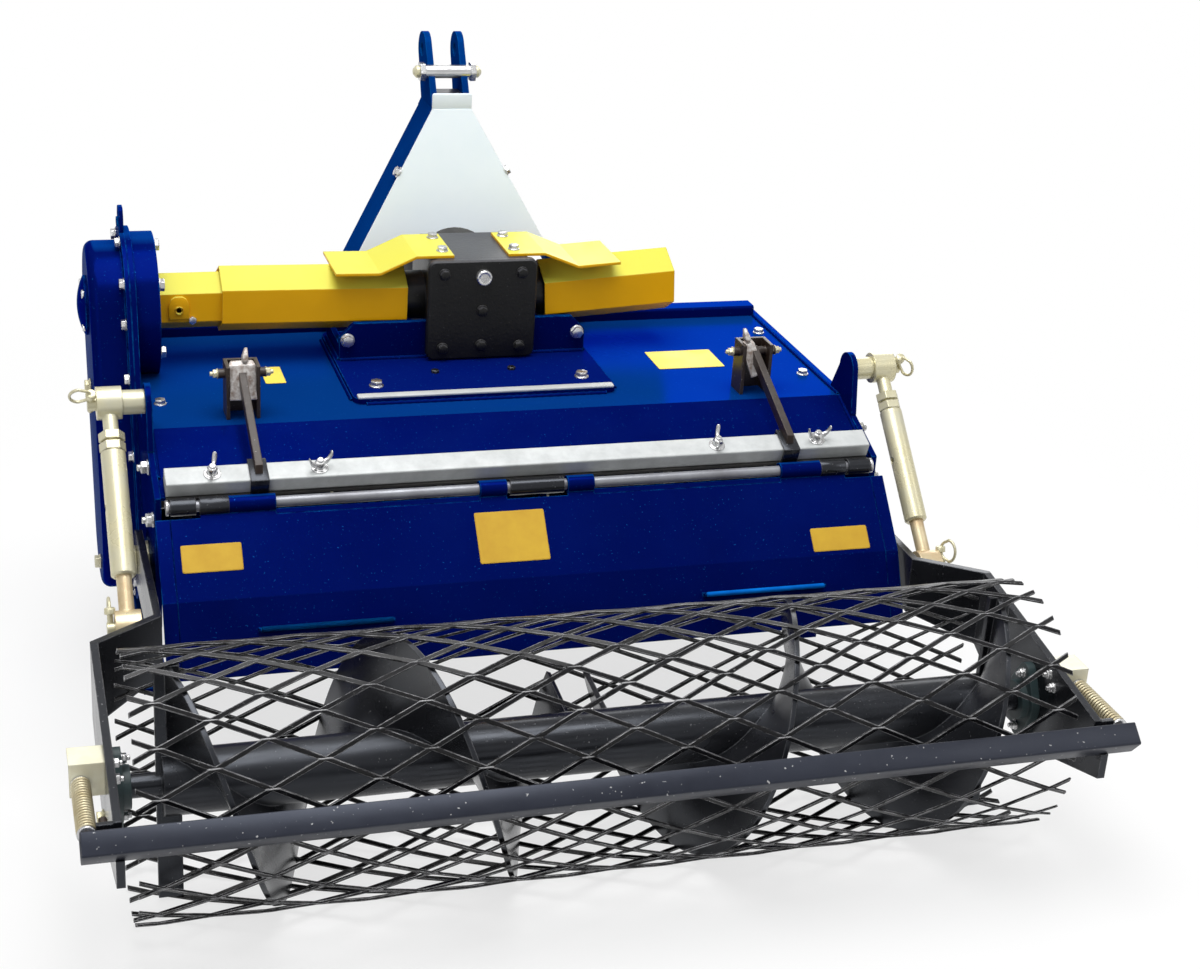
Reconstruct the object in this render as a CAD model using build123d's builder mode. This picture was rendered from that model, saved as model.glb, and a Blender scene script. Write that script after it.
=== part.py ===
from build123d import *

import os
from math import asin, atan2, cos, degrees, hypot, radians, sin, tan

# Frame: millimetres, X to the right seen from behind, Y forward to the tractor, Z up from the ground.

# Fits
running = 0.05          # radial clearance of a shaft, pin or rod in its bore
seat_gap = 0.3          # gap between pieces that bear on each other
eye_play = 4            # radial play of the turnbuckle's lower eye on its pin

# Hood
half_width = 610        # inner face of each side plate, from the middle
side_plate = 10
sheet = 6
deck_z = 505            # top face of the deck
deck_front = 530
deck_rear = 90
slope_rear = -60        # rear edge of the sloped panel
slope_fall = 58
rail_depth = 40
rail_height = 46
rail_stand = 20         # rail top above the deck
rail_edge = 5
apron_foot = 330        # lower edge of the front apron
apron_lean = 35

# Side plates and their ears
side_stand = 4          # side plate top above the deck and the slope
side_foot = 60          # lower edge of the side plates
side_chin = 40          # side plate below the apron, and its foot behind the deck's front edge
side_heel = 110         # rear end of the lower edge
side_waist_y = -42
side_waist_z = 210
side_end_gap = 12       # rear edge of the side plate ahead of the hinge
side_end_drop = 34      # rear edge of the side plate below the hinge
ear_y = 72
ear_z = 561
ear_r = 30
ear_heel = 12           # how far the ear's foot runs out behind it
ear_toe = 40            # and ahead of it
ear_root = 20           # depth of the ear's foot in the side plate
link_pin_r = 12
link_stand = 36         # turnbuckle eye to side plate
link_boss = 8           # boss round the upper pin
link_pin_over = 14

# Skids that the machine parks on
skid_y = 300
skid_length = 380
skid_width = 44
skid_thick = 12
skid_web = 10
skid_web_inset = 50
skid_web_taper = 30
skid_case_gap = 8       # skid web to the chain case above it
skid_nose = 70          # length of the turned-up nose
skid_nose_rise = 42

# Rotor
rotor_y = 290
rotor_z = 245
rotor_tip_r = 222
rotor_tube_r = 45
rotor_end_gap = 42      # rotor tube end to side plate
rotor_flange_r = 88
rotor_flange = 10
rotor_flanges = 6
rotor_stub_r = 25
blades_per_flange = 4
blade_thick = 8
blade_reach = 62        # sideways length of the cutting edge
blade_gap = 12          # outermost cutting edge to the end of the rotor tube
blade_root_r = 52
blade_root_turn = 32    # half angle of the blade's root, degrees
blade_tip_turn = 4      # how far the blade's tip trails, and the angle its edge covers
blade_tip_arc = 24
blade_waist = 0.62      # share of the tip radius where the blade is narrowest
blade_waist_turn = 10
bearing_r = 62
bearing_thick = 26

# Stone comb behind the rotor
comb_gap = 26           # from the blade tips to the comb's bars
comb_bar_r = 8
comb_pitch = 54
comb_end = 40           # least room from the outermost bar to the side plate
comb_top_angle = 131
comb_foot_angle = 212
comb_beam = 40

# Gearbox and drive line
shaft_y = 414
shaft_z = 612
gear_half = 92
gear_rear = 335
gear_front = 492
gear_top = 702
gear_edge = 14
gear_boss_r = 44        # boss that leads into each shaft guard
gear_boss = 52
base_x = -26             # base plate off the middle, towards the chain case
base_half = 235
base_rear = 152
base_front = 500
base_thick = 10
base_corner = 18
cover_half = 100
cover_foot = 2          # cover above the base plate
cover_thick = 14
cover_edge = 3
pto_r = 17.4
pto_end = 662
pto_collar_r = 42
pto_collar_long = 40
spline_count = 6
spline_deep = 2.6
spline_wide = 9
spline_start = 12       # from the collar to the splines

# Brackets that hold the gearbox to its base
brace_thick = 10
brace_inset = 7         # outer face from the base plate's edge
brace_rear = 345
brace_deep = 130
brace_top = 584
brace_cut = 26          # cut corner of the rear plate
cheek_top = 546

# Shaft guards, six-sided with a ridge on top
guard_side = 60
guard_wall = 3
guard_start = 128       # inner ends, from the middle
guard_left_long = 330
guard_left_tilt = 0.8
guard_right_long = 250
guard_right_tilt = 3.8
tail_side = 51          # smaller piece that the left guard slides over
tail_lap = 20
tail_lift = 3
strap_rear = 340
strap_wide = 134
strap_thick = 5
strap_root = 50
strap_bend = 118
strap_knee = 183
strap_end = 262

# Chain case on the left side plate
case_top_r = 112
case_low_r = 108
case_depth = 66
case_flange = 8
case_flange_rim = 24
case_edge = 16
collar_deep = 40        # housing of the drive shaft's bearing, inside the left side plate
collar_r = 126
dome_r = 52
dome_rise = 16
dome_rim = 4

# Mast and hitch
leg_thick = 12
leg_foot_x = 266        # outer face of each leg at the deck
leg_foot_rear = 522
leg_foot_front = 612
clevis_gap = 50
clevis_half = 46        # half width of each clevis ear where the legs turn upright
ear_break_z = 905       # where the legs turn upright
pin_y = 658
pin_z = 965
pin_r = 12.5
pin_over = 16           # how far the pin stands out of each ear
pin_nut = 10
pin_nut_rim = 6
mast_tip_r = 33
mast_tip_y = 712
mast_tip_z = 996
spare_hole_r = 12.9
mast_sheet = 5
mast_sheet_low = 640
spacer_deep = 40
spacer_high = 22
spacer_up = 12          # middle of the spacer above the legs' turn
hitch_x = 330           # outer face of each lower hitch plate
hitch_plate = 15
hitch_y = 655
hitch_z = 470
hitch_eye_r = 34
hitch_drop = 60         # hitch plate below the rail
hitch_pin_r = 11
hitch_pin_long = 92
hitch_collar = 8
hitch_collar_r = 18

# Hinge line, batten and rear flap
hinge_y = -84
hinge_z = 440
hinge_rod_r = 9
hinge_rod_short = 6     # rod end to side plate
hinge_sleeve_r = 14
knuckle_inset = 6
knuckle_end = 40        # length of the outer frame knuckles
knuckle_mid = 46        # half length of the middle one
knuckle_gap = 6
flap_knuckle = 120
flap_knuckle_mid = 46
batten_short = 8        # batten end to side plate
batten_wide = 40
batten_high = 28
batten_edge = 3
batten_over = 4         # batten and strip behind the panel's edge
strip_over = 8
strip_thick = 4
strip_wide = 52
flap_gap = 10           # flap end to side plate
flap_sheet = 5
flap_start = 6          # flap's upper edge to the hinge sleeves
crease_y = -192
crease_z = 326
flap_foot_y = -247
flap_foot_z = 218
lip_x = 370
lip_long = 216
lip_high = 14
lip_thick = 5
lip_up = 73             # lip above the flap's lower edge, along the flap

# Hold-down brackets on the deck
hold_x = 455
hold_y = 136
hold_wide = 56
hold_high = 92
hold_deep = 46
hold_plate = 6
hold_bolt_r = 8
hold_bolt_over = 12
hold_bolt_drop = 18
hold_arm_wide = 12
hold_arm_thick = 20
hold_foot = 24          # length of the arm's foot on the batten

# Roller frame
arm_gap = 8             # arm to side plate
arm_thick = 12
arm_half = 50
arm_step = 100          # how far the arm jogs outward
pivot_y = 70
pivot_z = 280
pivot_r = 15
pivot_boss = 16
pivot_nut = 14
pivot_nut_rim = 9
jog_front = -238
jog_rear = -310
arm_belly = 66          # arm below the roller's axis
arm_belly_half = 60
arm_shoulder = 92       # arm above the roller's axis
lower_pin_y = -202
lower_pin_z = 296
lower_pin_r = 10
lower_pin_over = 12

# Roller
roller_y = -505
roller_r = 198
mesh_end_gap = 20       # cage to arm
mesh_thick = 6
mesh_strips = 36
mesh_pitch = 150        # length of one diamond along the roller
mesh_strand = 5.5       # half height of a strand measured round the roller
mesh_bond = 24
roller_tube_r = 48
roller_tube_short = 50  # tube end inside the cage's end
roller_stub_r = 17.5
end_bar_inset = 60
end_bar_wide = 36
end_bar_thick = 10
flight_pitch = 350
flight_thick = 8
flight_sink = 4         # flight's root in the tube
flight_clear = 1        # flight to cage
flight_middle = 30      # inner end of each flight, from the middle
hub_r = 42
hub_thick = 14
hub_lobe_r = 17
hub_lobe = 48           # from the axis to the middle of each lobe
hub_boss_r = 32
hub_boss = 26

# Scraper bar, its springs and studs
scraper_rear = -745
scraper_size = 40
scraper_low = 228
scraper_over = 12       # bar end beyond the spring rods
tongue_rear = -738      # end of the arm's tongue under the bar
tongue_low = 186
heel_wide = 22          # plate on the arm's end that the stud goes through
heel_thick = 8
heel_high = 28
stud_r = 6
stud_stand = 11         # stud to arm
stud_nut = 9
stud_nut_rim = 3.5
stud_over = 26
spring_stand = 34       # spring rod to arm
spring_r = 7
spring_up = 252         # height of the rods
spring_over = 14
rod_sink = 28           # how deep rods and studs go into the bar
seat_rear = -572        # rear face of the spring's seat
seat_long = 48
seat_plate = 6
seat_high = 30
seat_drop = 22
seat_over = 15

# Turnbuckles
eye_r = 27
eye_wide = 40
tb_rod_r = 12
tb_collar_at = 54
tb_collar = 14
tb_collar_gap = 4
tb_collar_across = 36
tb_barrel_r = 19.5
tb_barrel_edge = 3
tb_barrel_end = 298
tb_bore_top = 200
tb_hole_at = 182
tb_hole_r = 6
tb_rod_top = 248

# Worked out from the above
roller_z = roller_r
side_outer = half_width + side_plate
side_top = deck_z + side_stand
slope_rear_z = deck_z - slope_fall
slope_angle = atan2(slope_fall, deck_rear - slope_rear)
rail_top = deck_z + rail_stand
rail_foot = rail_top - rail_height
base_z = deck_z + base_thick
skid_web_top = rotor_z - case_low_r - case_flange_rim - skid_case_gap
link_x = side_outer + link_stand + eye_wide / 2
link_fall = (lower_pin_y - ear_y, lower_pin_z - ear_z)
link_long = hypot(*link_fall)
arm_in = side_outer + arm_gap
arm_out = arm_in + arm_step
arm_outer = arm_out + arm_thick
scraper_front = scraper_rear + scraper_size
spring_x = arm_outer + spring_stand
stud_x = arm_outer + stud_stand
mesh_half = arm_out - mesh_end_gap
cage_inner = roller_r - mesh_thick

os.makedirs("parts", exist_ok=True)
made = []


def keep(piece, label):
    piece.label = label
    export_step(piece, f"parts/{label}.step")
    made.append(label)


def other_side(piece):
    return mirror(piece, about=Plane.YZ)


# Hood panel: flat deck and the sloped panel behind it, one folded sheet
fold = sheet * tan(slope_angle / 2)
with BuildPart() as hood_panel:
    with BuildSketch(Plane.YZ.offset(-half_width)):
        with BuildLine():
            Polyline(
                (deck_front, deck_z),
                (deck_rear, deck_z),
                (slope_rear, slope_rear_z),
                (slope_rear + sheet * sin(slope_angle), slope_rear_z - sheet * cos(slope_angle)),
                (deck_rear + fold, deck_z - sheet),
                (deck_front, deck_z - sheet),
                close=True,
            )
        make_face()
    extrude(amount=2 * half_width)
keep(hood_panel.part, "hood_panel")

# Front rail along the deck's front edge
with BuildPart() as front_rail:
    with Locations((0, deck_front + rail_depth / 2, rail_top - rail_height / 2)):
        Box(2 * half_width, rail_depth, rail_height)
    fillet(front_rail.edges().filter_by(Axis.X), radius=rail_edge)
keep(front_rail.part, "front_rail")

# Front apron below the rail
with BuildPart() as front_apron:
    with BuildSketch(Plane.YZ.offset(-half_width)):
        with BuildLine():
            Polyline(
                (deck_front, rail_foot),
                (deck_front + sheet, rail_foot),
                (deck_front + sheet + apron_lean, apron_foot),
                (deck_front + apron_lean, apron_foot),
                close=True,
            )
        make_face()
    extrude(amount=2 * half_width)
keep(front_apron.part, "front_apron")

# Side plates with the ear for the turnbuckle's upper pin
with BuildPart() as side_right:
    with BuildSketch(Plane.YZ.offset(half_width)):
        with BuildLine():
            Polyline(
                (deck_front + rail_depth, side_top),
                (deck_front + rail_depth, apron_foot - side_chin),
                (deck_front - side_chin, side_foot),
                (side_heel, side_foot),
                (side_waist_y, side_waist_z),
                (hinge_y + side_end_gap, hinge_z - side_end_drop),
                (hinge_y + side_end_gap, slope_rear_z + side_stand),
                (deck_rear, side_top),
                close=True,
            )
        make_face()
        with BuildLine():
            Polyline(
                (ear_y - ear_r - ear_heel, side_top - ear_root),
                (ear_y - ear_r, ear_z),
                (ear_y + ear_r, ear_z),
                (ear_y + ear_r + ear_toe, side_top - ear_root),
                close=True,
            )
        make_face()
        with Locations((ear_y, ear_z)):
            Circle(ear_r)
    extrude(amount=side_plate)
keep(side_right.part, "side_plate_right")

# Pins on the side plates: turnbuckle pin in the ear, arm pivot below it
upper_boss = link_stand - seat_gap
upper_pin = link_stand + eye_wide + link_pin_over
with BuildPart() as ear_pins:
    for side in (-1, 1):
        with Locations((side * (side_outer + upper_pin / 2), ear_y, ear_z)):
            Cylinder(link_pin_r, upper_pin, rotation=(0, 90, 0))
        with Locations((side * (side_outer + upper_boss / 2), ear_y, ear_z)):
            Cylinder(link_pin_r + link_boss, upper_boss, rotation=(0, 90, 0))
keep(ear_pins.part, "turnbuckle_upper_pins")

pivot_long = arm_gap + arm_thick + seat_gap
with BuildPart() as pivot_right:
    with Locations((side_outer + pivot_long / 2, pivot_y, pivot_z)):
        Cylinder(pivot_r, pivot_long, rotation=(0, 90, 0))
    with Locations((side_outer + (arm_gap - seat_gap) / 2, pivot_y, pivot_z)):
        Cylinder(pivot_r + pivot_boss, arm_gap - seat_gap, rotation=(0, 90, 0))
    with BuildSketch(Plane.YZ.offset(side_outer + pivot_long)):
        with Locations((pivot_y, pivot_z)):
            RegularPolygon(pivot_r + pivot_nut_rim, 6)
    extrude(amount=pivot_nut)
    mirror(about=Plane.YZ)
keep(pivot_right.part, "arm_pivot_bolts")

# Skids under the side plates
skid_rear = skid_y - skid_length / 2
skid_front = skid_y + skid_length / 2
nose_turn = atan2(skid_nose_rise, skid_nose)
with BuildPart() as skids:
    with BuildSketch(Plane.YZ.offset(side_outer + skid_web - skid_width)):
        with BuildLine():
            Polyline(
                (skid_rear, 0),
                (skid_front - skid_nose, 0),
                (skid_front, skid_nose_rise),
                (skid_front - skid_thick * sin(nose_turn), skid_nose_rise + skid_thick * cos(nose_turn)),
                (skid_front - skid_nose - skid_thick * tan(nose_turn / 2), skid_thick),
                (skid_rear, skid_thick),
                close=True,
            )
        make_face()
    extrude(amount=skid_width)
    with BuildSketch(Plane.YZ.offset(side_outer)):
        with BuildLine():
            Polyline(
                (skid_rear + skid_web_inset, skid_thick),
                (skid_front - skid_nose - skid_web_inset, skid_thick),
                (skid_front - skid_nose - skid_web_inset - skid_web_taper, skid_web_top),
                (skid_rear + skid_web_inset + skid_web_taper, skid_web_top),
                close=True,
            )
        make_face()
    extrude(amount=skid_web)
    mirror(about=Plane.YZ)
keep(skids.part, "skids")

# Bearings of the rotor, on the inside of the side plates
with BuildPart() as rotor_bearings:
    for side in (-1, 1):
        with Locations((side * (half_width - bearing_thick / 2), rotor_y, rotor_z)):
            Cylinder(bearing_r, bearing_thick, rotation=(0, 90, 0))
            Cylinder(rotor_stub_r + running, bearing_thick, rotation=(0, 90, 0), mode=Mode.SUBTRACT)
keep(rotor_bearings.part, "rotor_bearings")

# Rotor tube with its flanges and stub shafts
tube_half = half_width - rotor_end_gap
flange_pitch = 2 * (tube_half - blade_reach - blade_gap) / (rotor_flanges - 1)
flange_x = [(n - (rotor_flanges - 1) / 2) * flange_pitch for n in range(rotor_flanges)]
axis_plane = Plane(origin=(0, rotor_y, rotor_z), x_dir=(0, 1, 0), z_dir=(1, 0, 0))
with BuildPart(axis_plane) as rotor_tube:
    Cylinder(rotor_tube_r, 2 * tube_half)
    for x in flange_x:
        with Locations((0, 0, x)):
            Cylinder(rotor_flange_r, rotor_flange)
    for side in (-1, 1):
        with Locations((0, 0, side * (tube_half + (rotor_end_gap - seat_gap) / 2))):
            Cylinder(rotor_stub_r, rotor_end_gap - seat_gap)
keep(rotor_tube.part, "rotor_tube")


# Blades bolted to the flanges: a curved shank and a cutting edge bent sideways
def at(radius, turn):
    return (radius * cos(radians(turn)), radius * sin(radians(turn)))


tip_end = -blade_tip_turn - blade_tip_arc
waist_r = rotor_tip_r * blade_waist
with BuildPart() as rotor_blades:
    for n, x in enumerate(flange_x):
        for k in range(blades_per_flange):
            hand = 1 if k % 2 else -1
            face = x + hand * rotor_flange / 2
            turn = 360 / blades_per_flange * (k + n / rotor_flanges)
            turned = Plane(
                origin=(0, rotor_y, rotor_z),
                x_dir=(0, cos(radians(turn)), sin(radians(turn))),
                z_dir=(1, 0, 0),
            )
            with BuildSketch(turned.offset(min(face, face + hand * blade_thick))):
                with BuildLine():
                    ThreePointArc(
                        at(blade_root_r, blade_root_turn),
                        at(waist_r, blade_waist_turn / 2),
                        at(rotor_tip_r, -blade_tip_turn),
                    )
                    CenterArc((0, 0), rotor_tip_r, -blade_tip_turn, -blade_tip_arc)
                    ThreePointArc(
                        at(rotor_tip_r, tip_end),
                        at(waist_r, -blade_waist_turn - blade_tip_turn),
                        at(blade_root_r, -blade_root_turn),
                    )
                    CenterArc((0, 0), blade_root_r, -blade_root_turn, 2 * blade_root_turn)
                make_face()
            extrude(amount=blade_thick)
            with BuildSketch(turned.offset(min(face, face + hand * blade_reach))):
                with BuildLine():
                    CenterArc((0, 0), rotor_tip_r, -blade_tip_turn, -blade_tip_arc)
                    Line(at(rotor_tip_r, tip_end), at(rotor_tip_r - blade_thick, tip_end))
                    CenterArc((0, 0), rotor_tip_r - blade_thick, tip_end, blade_tip_arc)
                    Line(at(rotor_tip_r - blade_thick, -blade_tip_turn), at(rotor_tip_r, -blade_tip_turn))
                make_face()
            extrude(amount=blade_reach)
keep(rotor_blades.part, "rotor_blades")

# Stone comb: bars curved round the rotor, hung from a beam under the hood
comb_r = rotor_tip_r + comb_gap + comb_bar_r
comb_side = int((half_width - comb_end) / comb_pitch)
with BuildPart() as stone_comb:
    with Locations((0, rotor_y + at(comb_r, comb_top_angle)[0], rotor_z + at(comb_r, comb_top_angle)[1])):
        Box(2 * half_width, comb_beam, comb_beam)
    for n in range(-comb_side, comb_side + 1):
        comb_plane = Plane(origin=(n * comb_pitch, rotor_y, rotor_z), x_dir=(0, 1, 0), z_dir=(1, 0, 0))
        with BuildLine(comb_plane) as bar_line:
            CenterArc((0, 0), comb_r, comb_top_angle, comb_foot_angle - comb_top_angle)
        with BuildSketch(Plane(bar_line.line @ 0, z_dir=bar_line.line % 0)):
            Circle(comb_bar_r)
        sweep(path=bar_line.line)
keep(stone_comb.part, "stone_comb")

# Gearbox on its base plate, with the bosses of the cross shaft and the collar of the drive shaft
with BuildPart() as gear_base:
    with Locations((base_x, (base_rear + base_front) / 2, deck_z + base_thick / 2)):
        Box(2 * base_half, base_front - base_rear, base_thick)
    fillet(gear_base.edges().filter_by(Axis.Z), radius=base_corner)
keep(gear_base.part, "gearbox_base")

with BuildPart() as gearbox:
    with Locations((0, (gear_rear + gear_front) / 2, (base_z + gear_top) / 2)):
        Box(2 * gear_half, gear_front - gear_rear, gear_top - base_z)
    fillet(gearbox.edges().filter_by(Axis.Y), radius=gear_edge)
    with Locations((0, shaft_y, shaft_z)):
        Cylinder(gear_boss_r, 2 * (gear_half + gear_boss), rotation=(0, 90, 0))
    with Locations((0, gear_front + pto_collar_long / 2, shaft_z)):
        Cylinder(pto_collar_r, pto_collar_long, rotation=(90, 0, 0))
        Cylinder(pto_r + running, pto_collar_long, rotation=(90, 0, 0), mode=Mode.SUBTRACT)
keep(gearbox.part, "gearbox")

with BuildPart() as gear_cover:
    with Locations((0, gear_rear - cover_thick / 2, (base_z + cover_foot + gear_top) / 2)):
        Box(2 * cover_half, cover_thick, gear_top - base_z - cover_foot)
    fillet(gear_cover.edges().filter_by(Axis.Y), radius=gear_edge)
    chamfer(gear_cover.faces().sort_by(Axis.Y)[0].edges(), length=cover_edge)
keep(gear_cover.part, "gearbox_cover")

spline_y = gear_front + pto_collar_long + spline_start
with BuildPart() as pto_shaft:
    with BuildSketch(Plane.XZ.offset(-gear_front)):
        with Locations((0, shaft_z)):
            Circle(pto_r)
    extrude(amount=gear_front - pto_end)
    with BuildSketch(Plane.XZ.offset(-spline_y)):
        with Locations((0, shaft_z)):
            with PolarLocations(pto_r, spline_count):
                Rectangle(2 * spline_deep, spline_wide)
    extrude(amount=spline_y - pto_end, mode=Mode.SUBTRACT)
keep(pto_shaft.part, "pto_shaft")

# Brackets beside the gearbox: a rear plate and an outer cheek on the base plate
def gear_brace(out):
    with BuildPart() as brace:
        with BuildSketch(Plane.XZ.offset(-brace_rear)):
            with BuildLine():
                Polyline(
                    (gear_half, base_z),
                    (out, base_z),
                    (out, brace_top - brace_cut),
                    (out - brace_cut, brace_top),
                    (gear_half, brace_top),
                    close=True,
                )
            make_face()
        extrude(amount=-brace_thick)
        with Locations((out - brace_thick / 2, brace_rear + brace_deep / 2, (base_z + cheek_top) / 2)):
            Box(brace_thick, brace_deep, cheek_top - base_z)
    return brace.part


with BuildPart() as gear_braces:
    add(gear_brace(base_half - brace_inset + base_x))
    add(other_side(gear_brace(base_half - brace_inset - base_x)))
keep(gear_braces.part, "gearbox_braces")


# Shaft guards: six-sided folded tubes that start beside the gearbox
def shaft_guard(side, length, tilt, end_wall):
    start = Plane(
        origin=(side * guard_start, shaft_y, shaft_z),
        x_dir=(0, 1, 0),
        z_dir=(side * cos(radians(tilt)), 0, sin(radians(tilt))),
    )
    with BuildPart() as guard:
        with BuildSketch(start):
            RegularPolygon(guard_side, 6, rotation=30)
        extrude(amount=length)
        with BuildSketch(start):
            RegularPolygon(guard_side - guard_wall, 6, rotation=30)
        extrude(amount=length - end_wall, mode=Mode.SUBTRACT)
    return guard.part


keep(shaft_guard(1, guard_right_long, guard_right_tilt, guard_wall), "shaft_guard_right")
keep(shaft_guard(-1, guard_left_long, guard_left_tilt, 0), "shaft_guard_left")

with BuildPart() as guard_tail:
    with BuildSketch(Plane.YZ.offset(collar_deep - half_width)):
        with Locations((shaft_y, shaft_z + tail_lift)):
            RegularPolygon(tail_side, 6, rotation=30)
            RegularPolygon(tail_side - guard_wall, 6, rotation=30, mode=Mode.SUBTRACT)
    extrude(amount=half_width - collar_deep - guard_start - guard_left_long + tail_lap)
keep(guard_tail.part, "shaft_guard_tail")


# Guard straps: bent plates from the gearbox top down onto the ridges of the guards
def guard_strap(tilt):
    rise = tan(radians(tilt))
    crown = shaft_z + guard_side / cos(radians(tilt)) - guard_start * rise
    low = [(strap_root, gear_top), (strap_bend, gear_top)]
    low += [(x, crown + x * rise) for x in (strap_knee, strap_end)]
    with BuildPart() as strap:
        with BuildSketch(Plane.XZ.offset(-strap_rear)):
            with BuildLine():
                Polyline(*low, *[(x, z + strap_thick) for x, z in reversed(low)], close=True)
            make_face()
        extrude(amount=-strap_wide)
    return strap.part


with BuildPart() as guard_straps:
    add(guard_strap(guard_right_tilt))
    add(other_side(guard_strap(guard_left_tilt)))
keep(guard_straps.part, "guard_straps")


# Chain case outside the left side plate, from the drive shaft down to the rotor
def case_outline(grow):
    with BuildSketch() as outline:
        with Locations((shaft_y, shaft_z)):
            Circle(case_top_r + grow)
        with Locations((rotor_y, rotor_z)):
            Circle(case_low_r + grow)
        make_hull()
    return outline.sketch


outside = Plane(origin=(-side_outer, 0, 0), x_dir=(0, 1, 0), z_dir=(1, 0, 0))
with BuildPart() as chain_case:
    with BuildSketch(outside):
        add(case_outline(case_flange_rim))
    extrude(amount=-case_flange)
    with BuildSketch(outside.offset(-case_flange)):
        add(case_outline(0))
    extrude(amount=case_flange - case_depth)
    fillet(chain_case.faces().sort_by(Axis.X)[0].edges(), radius=case_edge)
keep(chain_case.part, "chain_case")

case_face = -side_outer - case_depth
dome_bulge = dome_rise - dome_rim
dome_round = (dome_r**2 + dome_bulge**2) / (2 * dome_bulge)
with BuildPart() as case_dome:
    with BuildSketch(Plane.XZ.offset(-shaft_y)):
        with BuildLine():
            Polyline(
                (case_face - dome_rise, shaft_z),
                (case_face, shaft_z),
                (case_face, shaft_z + dome_r),
                (case_face - dome_rim, shaft_z + dome_r),
            )
            CenterArc(
                (case_face - dome_rise + dome_round, shaft_z),
                dome_round,
                180,
                -degrees(asin(dome_r / dome_round)),
            )
        make_face()
    revolve(axis=Axis((0, shaft_y, shaft_z), (1, 0, 0)))
keep(case_dome.part, "chain_case_cap")

# Left side plate, with the upper flange that backs the chain case above the deck and the bearing housing
with BuildPart() as side_left:
    add(other_side(side_right.part))
    with BuildSketch(outside):
        add(case_outline(case_flange_rim))
        with Locations((shaft_y, deck_z)):
            Rectangle(2 * shaft_z, shaft_z, align=(Align.CENTER, Align.MAX), mode=Mode.SUBTRACT)
    extrude(amount=side_plate)
    with BuildSketch(outside.offset(side_plate)):
        with Locations((shaft_y, shaft_z)):
            Circle(collar_r)
        with Locations((shaft_y, deck_z)):
            Rectangle(2 * shaft_z, shaft_z, align=(Align.CENTER, Align.MAX), mode=Mode.SUBTRACT)
    extrude(amount=collar_deep)
keep(side_left.part, "side_plate_left")

# Mast: two splayed plate legs whose upright tops make the top-link clevis
leg_inner = clevis_gap / 2
leg_turn = atan2(leg_foot_x - leg_inner - leg_thick, ear_break_z - deck_z)
with BuildPart() as mast_legs:
    with BuildSketch(Plane.XZ.offset(-leg_foot_rear)):
        with BuildLine():
            Polyline(
                (leg_foot_x, deck_z),
                (leg_inner + leg_thick, ear_break_z),
                (leg_inner + leg_thick, mast_tip_z + mast_tip_r),
                (leg_inner, mast_tip_z + mast_tip_r),
                (leg_inner, ear_break_z - leg_thick * tan(leg_turn / 2)),
                (leg_foot_x - leg_thick / cos(leg_turn), deck_z),
                close=True,
            )
        make_face()
    extrude(amount=leg_foot_rear - mast_tip_y - mast_tip_r)
    with BuildSketch(Plane.YZ):
        with BuildLine():
            Polyline(
                (leg_foot_rear, rail_top),
                (leg_foot_front, rail_top),
                (pin_y + clevis_half, ear_break_z),
                (pin_y - clevis_half, ear_break_z),
                close=True,
            )
        make_face()
        with BuildSketch(mode=Mode.PRIVATE) as ear_outline:
            with Locations((pin_y, ear_break_z)):
                Rectangle(2 * clevis_half, leg_thick, align=(Align.CENTER, Align.MAX))
            with Locations((mast_tip_y, mast_tip_z)):
                Circle(mast_tip_r)
            make_hull()
        add(ear_outline.sketch)
        with Locations((pin_y, pin_z)):
            Circle(pin_r + running, mode=Mode.SUBTRACT)
        with Locations((mast_tip_y, mast_tip_z)):
            Circle(spare_hole_r, mode=Mode.SUBTRACT)
    extrude(amount=leg_foot_x, mode=Mode.INTERSECT)
    mirror(about=Plane.YZ)
keep(mast_legs.part, "mast_legs")

pin_half = leg_inner + leg_thick + pin_over
with BuildPart() as top_pin:
    with Locations((0, pin_y, pin_z)):
        Cylinder(pin_r, 2 * pin_half, rotation=(0, 90, 0))
    with BuildSketch(Plane.YZ.offset(pin_half - pin_nut)):
        with Locations((pin_y, pin_z)):
            RegularPolygon(pin_r + pin_nut_rim, 6)
    extrude(amount=pin_nut)
    mirror(about=Plane.YZ)
keep(top_pin.part, "top_link_pin")

# Plain sheet on the rear edges of the legs, up to where they turn upright
lean = atan2(pin_y - clevis_half - leg_foot_rear, ear_break_z - rail_top)


def leg_half(z):
    return leg_foot_x - (z - deck_z) * tan(leg_turn)


with BuildPart() as mast_panel:
    mast_plane = Plane(
        origin=(0, leg_foot_rear + (mast_sheet_low - rail_top) * tan(lean), mast_sheet_low),
        x_dir=(1, 0, 0),
        z_dir=(0, -cos(lean), sin(lean)),
    )
    panel_high = (ear_break_z - mast_sheet_low) / cos(lean)
    with BuildSketch(mast_plane):
        with BuildLine():
            Polyline(
                (-leg_half(mast_sheet_low), 0),
                (leg_half(mast_sheet_low), 0),
                (leg_half(ear_break_z), panel_high),
                (-leg_half(ear_break_z), panel_high),
                close=True,
            )
        make_face()
    extrude(amount=mast_sheet)
keep(mast_panel.part, "mast_sheet")

with BuildPart() as mast_spacer:
    with Locations((0, pin_y, ear_break_z + spacer_up)):
        Box(clevis_gap, spacer_deep, spacer_high)
keep(mast_spacer.part, "mast_spacer")

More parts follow.
